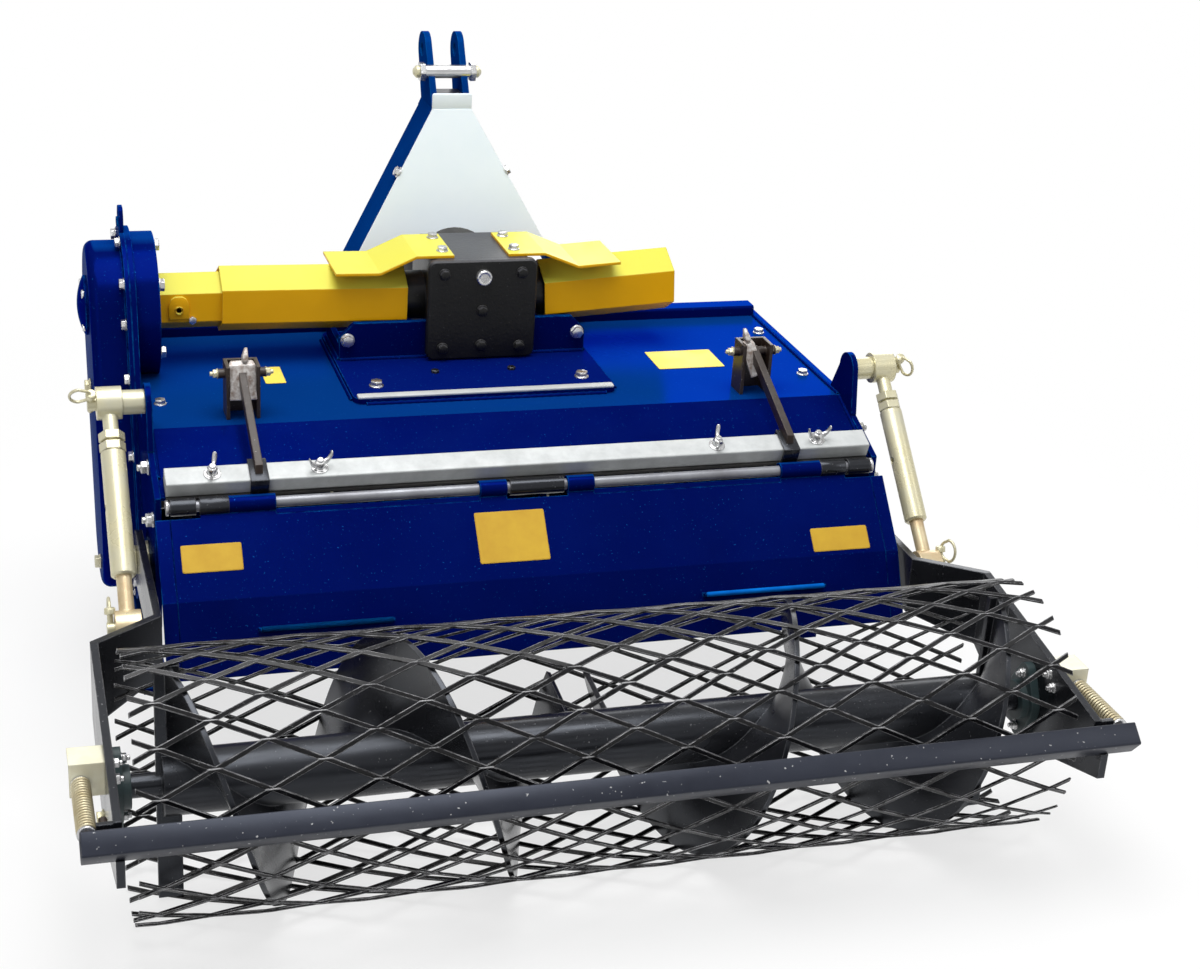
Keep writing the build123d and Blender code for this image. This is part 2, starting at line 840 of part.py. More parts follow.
# Lower hitch plates and their pins
with BuildPart() as hitch_plates:
    with BuildSketch(Plane.YZ.offset(hitch_x - hitch_plate)):
        with BuildLine():
            Polyline(
                (deck_front + rail_depth, rail_top),
                (deck_front + rail_depth, rail_foot - hitch_drop),
                (hitch_y, hitch_z - hitch_eye_r),
                (hitch_y, hitch_z + hitch_eye_r),
                close=True,
            )
        make_face()
        with Locations((hitch_y, hitch_z)):
            Circle(hitch_eye_r)
            Circle(hitch_pin_r + running, mode=Mode.SUBTRACT)
    extrude(amount=hitch_plate)
    mirror(about=Plane.YZ)
keep(hitch_plates.part, "hitch_plates")

with BuildPart() as hitch_pins:
    with Locations((hitch_x - hitch_plate + (hitch_plate + hitch_pin_long) / 2, hitch_y, hitch_z)):
        Cylinder(hitch_pin_r, hitch_plate + hitch_pin_long, rotation=(0, 90, 0))
    for x in (hitch_x + hitch_collar / 2, hitch_x - hitch_plate - hitch_collar / 2):
        with Locations((x, hitch_y, hitch_z)):
            Cylinder(hitch_collar_r, hitch_collar, rotation=(0, 90, 0))
    mirror(about=Plane.YZ)
keep(hitch_pins.part, "lower_link_pins")

# Batten over a rubber strip on the rear edge of the sloped panel
batten_half = half_width - batten_short
slope_plane = Plane(
    origin=(0, slope_rear, slope_rear_z),
    x_dir=(1, 0, 0),
    z_dir=(0, -sin(slope_angle), cos(slope_angle)),
)
with BuildPart(slope_plane) as rubber_strip:
    with Locations((0, strip_wide / 2 - strip_over, strip_thick / 2)):
        Box(2 * batten_half, strip_wide, strip_thick)
keep(rubber_strip.part, "rubber_strip")

with BuildPart(slope_plane) as batten:
    with Locations((0, batten_wide / 2 - batten_over, strip_thick + batten_high / 2)):
        Box(2 * batten_half, batten_wide, batten_high)
    fillet(batten.edges().filter_by(Axis.X), radius=batten_edge)
keep(batten.part, "batten")

# Hinge line: rod, frame knuckles on short leaves, flap knuckles on the flap
rod_half = half_width - hinge_rod_short
outer_knuckle = rod_half - knuckle_inset
outer_inner = outer_knuckle - knuckle_end
frame_knuckles = [(-outer_knuckle, -outer_inner), (-knuckle_mid, knuckle_mid), (outer_inner, outer_knuckle)]
flap_far = outer_inner - knuckle_gap
flap_near = knuckle_mid + knuckle_gap
flap_right = [(flap_near, flap_near + flap_knuckle_mid), (flap_far - flap_knuckle, flap_far)]
flap_knuckles = flap_right + [(-high, -low) for low, high in flap_right]

with BuildPart() as hinge_rod:
    with Locations((0, hinge_y, hinge_z)):
        Cylinder(hinge_rod_r, 2 * rod_half, rotation=(0, 90, 0))
keep(hinge_rod.part, "hinge_rod")

leaf_z = slope_rear_z - (slope_rear - hinge_y) * tan(slope_angle)
with BuildPart() as hinge_knuckles:
    for x_low, x_high in frame_knuckles:
        with BuildSketch(Plane.YZ.offset(x_low)):
            with Locations((hinge_y, hinge_z)):
                Circle(hinge_sleeve_r)
            with BuildLine():
                Polyline(
                    (hinge_y, leaf_z),
                    (slope_rear, slope_rear_z),
                    (slope_rear + sheet * sin(slope_angle), slope_rear_z - sheet * cos(slope_angle)),
                    (hinge_y, leaf_z - sheet / cos(slope_angle)),
                    close=True,
                )
            make_face()
            with Locations((hinge_y, hinge_z)):
                Circle(hinge_rod_r + running, mode=Mode.SUBTRACT)
        extrude(amount=x_high - x_low)
keep(hinge_knuckles.part, "hinge_knuckles")

# Flap: two planes with a crease and two lips, hung from its knuckles
flap_half = half_width - flap_gap
drop_angle = atan2(hinge_z - crease_z, hinge_y - crease_y)
foot_angle = atan2(crease_z - flap_foot_z, crease_y - flap_foot_y)
mid_angle = (drop_angle + foot_angle) / 2


def behind(y, z, angle):
    return (y + flap_sheet * sin(angle), z - flap_sheet * cos(angle))


flap_edge = hinge_sleeve_r + flap_start
start = (hinge_y - flap_edge * cos(drop_angle), hinge_z - flap_edge * sin(drop_angle))
lip = (flap_foot_y + lip_up * cos(foot_angle), flap_foot_z + lip_up * sin(foot_angle))
lip_low = (lip[0] - lip_thick * cos(foot_angle), lip[1] - lip_thick * sin(foot_angle))
with BuildPart() as flap:
    with BuildSketch(Plane.YZ.offset(-flap_half)):
        with BuildLine():
            Polyline(
                start,
                (crease_y, crease_z),
                (flap_foot_y, flap_foot_z),
                behind(flap_foot_y, flap_foot_z, foot_angle),
                behind(crease_y, crease_z, mid_angle),
                behind(*start, drop_angle),
                close=True,
            )
        make_face()
    extrude(amount=2 * flap_half)
    for x_low, x_high in flap_knuckles:
        with BuildSketch(Plane.YZ.offset(x_low)):
            with Locations((hinge_y, hinge_z)):
                Circle(hinge_sleeve_r)
            with BuildLine():
                Polyline(
                    (hinge_y, hinge_z),
                    start,
                    behind(*start, drop_angle),
                    behind(hinge_y, hinge_z, drop_angle),
                    close=True,
                )
            make_face()
            with Locations((hinge_y, hinge_z)):
                Circle(hinge_rod_r + running, mode=Mode.SUBTRACT)
        extrude(amount=x_high - x_low)
    for side in (-1, 1):
        with BuildSketch(Plane.YZ.offset(side * lip_x - lip_long / 2)):
            with BuildLine():
                Polyline(
                    behind(*lip, foot_angle),
                    (lip[0] - lip_high * sin(foot_angle), lip[1] + lip_high * cos(foot_angle)),
                    (lip_low[0] - lip_high * sin(foot_angle), lip_low[1] + lip_high * cos(foot_angle)),
                    behind(*lip_low, foot_angle),
                    close=True,
                )
            make_face()
        extrude(amount=lip_long)
keep(flap.part, "flap")

# Hold-down brackets on the deck, with flat arms to the batten
arm_root = (hold_y, deck_z + hold_high - hold_bolt_drop)
clip_u = batten_wide / 2 - batten_over
clip_v = strip_thick + batten_high
clip = (
    slope_rear + clip_u * cos(slope_angle) - clip_v * sin(slope_angle),
    slope_rear_z + clip_u * sin(slope_angle) + clip_v * cos(slope_angle),
)
clip_front = (clip[0] + hold_foot / 2 * cos(slope_angle), clip[1] + hold_foot / 2 * sin(slope_angle))
clip_rear = (clip[0] - hold_foot / 2 * cos(slope_angle), clip[1] - hold_foot / 2 * sin(slope_angle))
with BuildPart() as hold_downs:
    for side in (-1, 1):
        with BuildSketch(Plane.XY.offset(deck_z)):
            with Locations((side * hold_x, hold_y)):
                Rectangle(hold_wide, hold_deep)
            with Locations((side * hold_x, hold_y - hold_plate)):
                Rectangle(hold_wide - 2 * hold_plate, hold_deep, mode=Mode.SUBTRACT)
        extrude(amount=hold_high)
        with Locations((side * hold_x, *arm_root)):
            Cylinder(hold_bolt_r, hold_wide + 2 * hold_bolt_over, rotation=(0, 90, 0))
        with BuildSketch(Plane.YZ.offset(side * hold_x - hold_arm_wide / 2)):
            with BuildLine():
                Polyline(
                    (arm_root[0], arm_root[1] + hold_arm_thick / 2),
                    (arm_root[0], arm_root[1] - hold_arm_thick / 2),
                    clip_front,
                    clip_rear,
                    (clip_rear[0], clip_rear[1] + hold_arm_thick),
                    close=True,
                )
            make_face()
        extrude(amount=hold_arm_wide)
keep(hold_downs.part, "hold_downs")

# Roller arms: plates that jog outward behind the side plates and end in a tongue under the scraper bar
jog = atan2(arm_step, jog_front - jog_rear)
miter = arm_thick * tan(jog / 2)
arm_rear = scraper_front + seat_gap
arm_top = pivot_z + arm_half
with BuildPart() as arm_right:
    with BuildSketch(Plane.XY):
        with BuildLine():
            Polyline(
                (arm_in, pivot_y + arm_half),
                (arm_in, jog_front),
                (arm_out, jog_rear),
                (arm_out, tongue_rear),
                (arm_outer, tongue_rear),
                (arm_outer, jog_rear + miter),
                (arm_in + arm_thick, jog_front + miter),
                (arm_in + arm_thick, pivot_y + arm_half),
                close=True,
            )
        make_face()
    extrude(amount=arm_top)
    with BuildSketch(Plane.YZ.offset(arm_in)):
        with BuildLine():
            Polyline(
                (pivot_y, arm_top),
                (jog_rear, arm_top),
                (roller_y - arm_belly_half, roller_z + arm_shoulder),
                (arm_rear, scraper_low + scraper_size),
                (arm_rear, scraper_low - seat_gap),
                (tongue_rear, scraper_low - seat_gap),
                (tongue_rear, tongue_low),
                (roller_y - arm_belly_half, roller_z - arm_belly),
                (roller_y + arm_belly_half, roller_z - arm_belly),
                (jog_front, pivot_z - arm_half),
                (pivot_y, pivot_z - arm_half),
                close=True,
            )
        make_face()
        with Locations((pivot_y, pivot_z)):
            Circle(arm_half)
            Circle(pivot_r + running, mode=Mode.SUBTRACT)
    extrude(amount=arm_outer - arm_in, mode=Mode.INTERSECT)
    with BuildSketch(Plane.XZ.offset(-arm_rear)):
        with Locations((arm_outer + heel_wide / 2, spring_up)):
            Rectangle(heel_wide, heel_high)
        with Locations((stud_x, spring_up)):
            Circle(stud_r + running, mode=Mode.SUBTRACT)
    extrude(amount=-heel_thick)
keep(arm_right.part, "roller_arm_right")
keep(other_side(arm_right.part), "roller_arm_left")

lower_pin = link_x + eye_wide / 2 + lower_pin_over - arm_in - arm_thick
with BuildPart() as lower_pins:
    for side in (-1, 1):
        with Locations((side * (arm_in + arm_thick + lower_pin / 2), lower_pin_y, lower_pin_z)):
            Cylinder(lower_pin_r, lower_pin, rotation=(0, 90, 0))
keep(lower_pins.part, "turnbuckle_lower_pins")

# Roller bearings on the inside of the arms: two-lobed flange with a boss
with BuildPart() as hubs:
    with BuildSketch(Plane.YZ.offset(arm_out - hub_thick)):
        with Locations((roller_y, roller_z)):
            Circle(hub_r)
        with Locations((roller_y, roller_z - hub_lobe), (roller_y, roller_z + hub_lobe)):
            Circle(hub_lobe_r)
        make_hull()
    extrude(amount=hub_thick)
    with Locations((arm_out - hub_boss / 2, roller_y, roller_z)):
        Cylinder(hub_boss_r, hub_boss, rotation=(0, 90, 0))
        Cylinder(roller_stub_r + running, hub_boss, rotation=(0, 90, 0), mode=Mode.SUBTRACT)
    mirror(about=Plane.YZ)
keep(hubs.part, "roller_bearings")

# Roller core: tube with stub shafts, a bar across each end, and a helical flight in each half
roller_axis = Plane(origin=(0, roller_y, roller_z), x_dir=(0, 1, 0), z_dir=(1, 0, 0))
tube_end = mesh_half - roller_tube_short
end_bar_x = mesh_half - end_bar_inset
flight_root = roller_tube_r - flight_sink
flight_tip = cage_inner - flight_clear
with BuildPart() as flight_left:
    with BuildLine() as spiral:
        Helix(
            flight_pitch,
            end_bar_x - flight_middle,
            (flight_root + flight_tip) / 2,
            center=(-end_bar_x, roller_y, roller_z),
            direction=(1, 0, 0),
        )
    with BuildSketch(Plane(origin=spiral.line @ 0, x_dir=(0, 0, 1), z_dir=spiral.line % 0)):
        Rectangle(flight_tip - flight_root, flight_thick)
    sweep(path=spiral.line, is_frenet=True)

with BuildPart() as roller_core:
    with Locations((0, roller_y, roller_z)):
        Cylinder(roller_tube_r, 2 * tube_end, rotation=(0, 90, 0))
        Cylinder(roller_stub_r, 2 * (arm_out - seat_gap), rotation=(0, 90, 0))
    for side in (-1, 1):
        with Locations((side * end_bar_x, roller_y, roller_z)):
            Box(end_bar_wide, end_bar_thick, 2 * cage_inner)
    add(flight_left.part)
    add(other_side(flight_left.part))
keep(roller_core.part, "roller_core")

# Roller cage: expanded metal, each strip a zigzag strand in its own tangent plane
step = 360 / mesh_strips
edge_out = roller_r * tan(radians(step / 2))
rows = int(2 * mesh_half / (mesh_pitch / 2)) + 2
slope = 2 * edge_out / (mesh_pitch / 2)
crest = edge_out + slope * mesh_bond / 4 - mesh_strand
tangent = Plane(origin=(0, roller_y, roller_z + roller_r), x_dir=(1, 0, 0), z_dir=(0, 0, 1))


def mesh_strip(phase):
    points = [((n - rows // 2) * mesh_pitch / 2, crest * (-1) ** (n + phase)) for n in range(-1, rows + 2)]
    with BuildPart() as strip:
        with BuildSketch(tangent):
            with BuildLine():
                Polyline(
                    *[(x, t + mesh_strand) for x, t in points],
                    *[(x, t - mesh_strand) for x, t in reversed(points)],
                    close=True,
                )
            make_face()
        extrude(amount=-mesh_thick)
        with BuildSketch(roller_axis.offset(-mesh_half)):
            with BuildLine():
                Polyline((0, 0), (-2 * edge_out, 2 * roller_r), (2 * edge_out, 2 * roller_r), close=True)
            make_face()
        extrude(amount=2 * mesh_half, mode=Mode.INTERSECT)
    return strip.part


strips = [mesh_strip(0), mesh_strip(1)]
turn_axis = Axis((0, roller_y, roller_z), (1, 0, 0))
with BuildPart() as roller_cage:
    add([strips[n % 2].rotate(turn_axis, n * step) for n in range(mesh_strips)])
keep(roller_cage.part, "roller_cage")

# Scraper bar behind the roller, with blind holes for its spring rods and studs
with BuildPart() as scraper_bar:
    with Locations((0, scraper_rear + scraper_size / 2, scraper_low + scraper_size / 2)):
        Box(2 * (spring_x + scraper_over), scraper_size, scraper_size)
    for x, radius in ((spring_x, spring_r), (stud_x, stud_r)):
        for side in (-1, 1):
            with Locations((side * x, scraper_front - rod_sink / 2, spring_up)):
                Cylinder(radius + running, rod_sink, rotation=(90, 0, 0), mode=Mode.SUBTRACT)
keep(scraper_bar.part, "scraper_bar")

# Folded seats of the scraper's springs, on the outer faces of the arms
seat_wide = spring_stand + seat_over
with BuildPart() as scraper_seats:
    with BuildSketch(Plane.YZ.offset(arm_outer)):
        with BuildLine():
            Polyline(
                (seat_rear, spring_up - seat_drop),
                (seat_rear, spring_up + seat_high),
                (seat_rear + seat_long, spring_up + seat_high),
                (seat_rear + seat_long, spring_up + seat_high - seat_plate),
                (seat_rear + seat_plate, spring_up + seat_high - seat_plate),
                (seat_rear + seat_plate, spring_up - seat_drop),
                close=True,
            )
        make_face()
    extrude(amount=seat_wide)
    with Locations((spring_x, seat_rear + seat_plate / 2, spring_up)):
        Cylinder(spring_r + running, seat_plate, rotation=(90, 0, 0), mode=Mode.SUBTRACT)
    mirror(about=Plane.YZ)
keep(scraper_seats.part, "scraper_seats")


# Spring rods and studs with their nuts
def threaded_rod(x, radius, front, nut_rear, nut_long):
    with BuildPart() as rod:
        with BuildSketch(Plane.XZ.offset(rod_sink - scraper_front)):
            with Locations((x, spring_up)):
                Circle(radius)
        extrude(amount=scraper_front - rod_sink - front)
        with BuildSketch(Plane.XZ.offset(-nut_rear)):
            with Locations((x, spring_up)):
                RegularPolygon(radius + stud_nut_rim, 6)
        extrude(amount=-nut_long)
    return rod.part


seat_front = seat_rear + seat_plate
with BuildPart() as scraper_bolts:
    add(threaded_rod(spring_x, spring_r, seat_front + stud_nut + spring_over, seat_front, stud_nut))
    add(threaded_rod(stud_x, stud_r, arm_rear + heel_thick + stud_over, arm_rear + heel_thick, stud_nut))
    mirror(about=Plane.YZ)
keep(scraper_bolts.part, "scraper_bolts")


# Turnbuckles between the ears and the arms
def link_plane(side):
    return Plane(origin=(side * link_x, ear_y, ear_z), x_dir=(1, 0, 0), z_dir=(0, *link_fall))


def barrel(side):
    with BuildPart(link_plane(side)) as body:
        barrel_top = tb_collar_at + 2 * tb_collar + tb_collar_gap
        with Locations((0, 0, (barrel_top + tb_barrel_end) / 2)):
            Cylinder(tb_barrel_r, tb_barrel_end - barrel_top)
        chamfer(body.edges().filter_by(GeomType.CIRCLE), length=tb_barrel_edge)
        Cylinder(eye_r, eye_wide, rotation=(0, 90, 0))
        with Locations((0, 0, barrel_top / 2)):
            Cylinder(tb_rod_r, barrel_top)
        for nut in (tb_collar_at, tb_collar_at + tb_collar + tb_collar_gap):
            with BuildSketch(link_plane(side).offset(nut)):
                RegularPolygon(tb_collar_across / 2, 6, major_radius=False)
            extrude(amount=tb_collar)
        with Locations((0, 0, (tb_bore_top + tb_barrel_end) / 2)):
            Cylinder(tb_rod_r + running, tb_barrel_end - tb_bore_top, mode=Mode.SUBTRACT)
        with Locations((0, 0, tb_hole_at)):
            Cylinder(tb_hole_r, 2 * tb_barrel_r, rotation=(0, 90, 0), mode=Mode.SUBTRACT)
        Cylinder(link_pin_r + running, eye_wide, rotation=(0, 90, 0), mode=Mode.SUBTRACT)
    return body.part


def link_rod(side):
    with BuildPart(link_plane(side)) as rod:
        with Locations((0, 0, link_long)):
            Cylinder(eye_r, eye_wide, rotation=(0, 90, 0))
        with Locations((0, 0, (tb_rod_top + link_long) / 2)):
            Cylinder(tb_rod_r, link_long - tb_rod_top)
        with Locations((0, 0, link_long)):
            Cylinder(lower_pin_r + eye_play, eye_wide, rotation=(0, 90, 0), mode=Mode.SUBTRACT)
    return rod.part


for side, word in ((-1, "left"), (1, "right")):
    keep(barrel(side), f"turnbuckle_barrel_{word}")
    keep(link_rod(side), f"turnbuckle_rod_{word}")

print(len(made), "pieces written")
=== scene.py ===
import bpy
from math import atan2, ceil, cos, hypot, pi, radians, sin, tan
from mathutils import Matrix, Vector


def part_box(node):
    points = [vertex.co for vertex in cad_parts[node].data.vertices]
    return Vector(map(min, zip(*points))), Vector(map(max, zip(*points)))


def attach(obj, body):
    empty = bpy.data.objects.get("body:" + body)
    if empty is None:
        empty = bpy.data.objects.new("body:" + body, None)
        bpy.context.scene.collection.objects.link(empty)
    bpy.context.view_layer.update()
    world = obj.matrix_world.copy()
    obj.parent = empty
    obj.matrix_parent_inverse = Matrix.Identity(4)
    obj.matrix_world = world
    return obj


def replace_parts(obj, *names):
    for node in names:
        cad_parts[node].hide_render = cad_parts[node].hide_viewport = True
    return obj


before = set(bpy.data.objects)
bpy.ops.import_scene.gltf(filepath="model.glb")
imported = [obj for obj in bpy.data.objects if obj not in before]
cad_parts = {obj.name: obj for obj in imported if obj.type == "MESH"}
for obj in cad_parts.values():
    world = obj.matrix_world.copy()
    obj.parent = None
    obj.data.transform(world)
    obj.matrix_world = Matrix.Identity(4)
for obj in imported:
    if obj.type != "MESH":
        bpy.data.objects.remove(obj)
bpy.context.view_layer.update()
bpy.context.scene.view_settings.view_transform = "Standard"
print("frame loaded,", len(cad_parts), "nodes")


def middleOf(node):
    low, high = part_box(node)
    return (Vector(low) + Vector(high)) / 2


# finishes: a wrapped socket, so that masks are written as sums
class Wire:
    def __init__(self, tree, socket=None):
        self.tree = tree
        self.socket = socket

    def node(self, kind, settings=None, sockets=None, out=0):
        made = self.tree.nodes.new("ShaderNode" + kind)
        for name, value in (settings or {}).items():
            setattr(made, name, value)
        for name, value in (sockets or {}).items():
            if isinstance(value, Wire):
                self.tree.links.new(value.socket, made.inputs[name])
            else:
                made.inputs[name].default_value = value
        return Wire(self.tree, made.outputs[out])

    def sum(self, operation, first, second):
        return self.node("Math", {"operation": operation}, {0: first, 1: second})

    def __add__(self, other):
        return self.sum("ADD", self, other)

    __radd__ = __add__

    def __sub__(self, other):
        return self.sum("SUBTRACT", self, other)

    def __rsub__(self, other):
        return self.sum("SUBTRACT", other, self)

    def __mul__(self, other):
        return self.sum("MULTIPLY", self, other)

    __rmul__ = __mul__

    def vector(self, operation, *parts, out="Value"):
        return self.node("VectorMath", {"operation": operation}, dict(enumerate(parts)), out)

    def noise(self, place, scale, detail=3, rough=0.55):
        sockets = {"Vector": place, "Scale": scale, "Detail": detail, "Roughness": rough}
        return self.node("TexNoise", {}, sockets)

    def ramp(self, value, span):
        made = self.node("ValToRGB", {}, {"Fac": value})
        for stop, place, grey in zip(made.socket.node.color_ramp.elements, span, (0, 1)):
            stop.position = place
            stop.color = (grey, grey, grey, 1)
        return made

    def patches(self, place, scale, detail, rough, span):
        return self.ramp(self.noise(place, scale, detail, rough), span)

    def blend(self, mask, under, over):
        return self.node("Mix", {"data_type": "RGBA"}, {0: mask, 6: under, 7: (*over, 1)}, out=2)


plainLook = {
    "tint": None, "tintShade": 0.72, "tintScale": 3.0, "rough": 0.4, "roughVary": 0.15, "metal": 0.0,
    "dust": 0.0, "dustRough": 0.3, "dustColour": (0.42, 0.40, 0.36),
    "speck": 0.0, "speckScale": 260, "speckColour": (0.6, 0.6, 0.58),
    "edge": 0.0, "edgeRadius": 0.003, "edgeColour": (0.5, 0.5, 0.5),
    "grainScale": 900, "grain": 0.02, "lumps": 0.0, "lumpScale": 60,
    "worn": None, "wornColour": (0.3, 0.29, 0.28),
    # the colour for up-facing faces and the span it rises over paint a top light
    "shine": 0.5, "shineTint": (1, 1, 1), "upColour": None, "upFrom": (0.25, 0.80),
}
# scale, detail and roughness of the noise in each mask, and the span that the mask rises over
masks = {
    "dust": (9, 6, 0.7, (0.42, 0.75)), "rub": (45, 4, 0.7, (0.36, 0.62)), "chip": (38, 5, 0.7, (0.38, 0.66)),
}
cloudNoise = (4, 0.6, (0.35, 0.68))    # these two take their scale from the finish
speckNoise = (2, 0.5, (0.70, 0.74))
skyward = (0.25, 0.95)    # how far up a face looks, from none to full dust; in the blue paints this mask lays lighter azure patches, a painted reflection
rimTurn = (0.02, 0.16)    # how far an edge turns, from plain to full edge colour: worn paint, and in the blue paints and the cage a painted highlight
relief = {"Strength": 0.35, "Distance": 0.002}


def makeFinish(name, colour, **changes):
    look = dict(plainLook, **changes)
    finish = bpy.data.materials.new(name)
    finish.use_nodes = True
    wire = Wire(finish.node_tree)
    place = wire.node("TexCoord", out="Object")
    facing = wire.node("NewGeometry", out="Normal")
    up = wire.vector("DOT_PRODUCT", facing, (0, 0, 1))
    cloud = wire.patches(place, look["tintScale"], *cloudNoise)
    tint = look["tint"] or tuple(c * look["tintShade"] for c in colour)
    paint = wire.blend(cloud, (*colour, 1), tint)
    rough = look["rough"] + look["roughVary"] * (cloud - 0.5)
    if look["upColour"]:    # painted top light: faces that look up get a lighter colour, as where light falls on them
        paint = wire.blend(wire.ramp(up, look["upFrom"]), paint, look["upColour"])
    # dust on up-facing faces; in the blue paints its azure colour is a painted reflection
    if look["dust"]:
        settled = wire.ramp(up, skyward) * wire.patches(place, *masks["dust"]) * look["dust"]
        paint = wire.blend(settled, paint, look["dustColour"])
        rough = rough + settled * look["dustRough"]
    if look["speck"]:
        dots = wire.patches(place, look["speckScale"], *speckNoise)
        paint = wire.blend(dots * look["speck"], paint, look["speckColour"])
    if look["worn"]:
        rubbed = look["worn"](wire, place) * wire.patches(place, *masks["rub"])
        paint = wire.blend(rubbed, paint, look["wornColour"])
    softened = wire.node("Bevel", {"samples": 4}, {"Radius": look["edgeRadius"]}, out="Normal")
    # edges take the edge colour: worn paint, and in the blue paints and the cage a painted highlight along
    # them
    if look["edge"]:
        rim = wire.ramp(1 - wire.vector("DOT_PRODUCT", softened, facing), rimTurn)
        rim = rim * wire.patches(place, *masks["chip"]) * look["edge"]
        paint = wire.blend(rim, paint, look["edgeColour"])
    height = wire.noise(place, look["grainScale"], 2) * look["grain"]
    if look["lumps"]:
        height = height + wire.noise(place, look["lumpScale"]) * look["lumps"]
    bump = wire.node("Bump", {}, dict(relief, Height=height, Normal=softened), out="Normal")
    shader = finish.node_tree.nodes["Principled BSDF"].inputs
    for socket, value in (("Base Color", paint), ("Roughness", rough), ("Normal", bump)):
        finish.node_tree.links.new(value.socket, shader[socket])
    shader["Metallic"].default_value = look["metal"]
    shader["Specular IOR Level"].default_value = look["shine"]
    shader["Specular Tint"].default_value = (*look["shineTint"], 1)
    return finish


rub = {"middle": middleOf("roller_cage"), "from": 0.1955, "to": 0.199}


def cageWear(wire, place):
    # strands are rubbed bright on the outside, by their distance from the roller's axis
    away = wire.vector("SUBTRACT", place, rub["middle"], out="Vector")
    away = wire.vector("MULTIPLY", away, (0, 1, 1), out="Vector")
    limits = {"Value": wire.vector("LENGTH", away), "From Min": rub["from"], "From Max": rub["to"]}
    return wire.node("MapRange", {}, limits, out="Result")
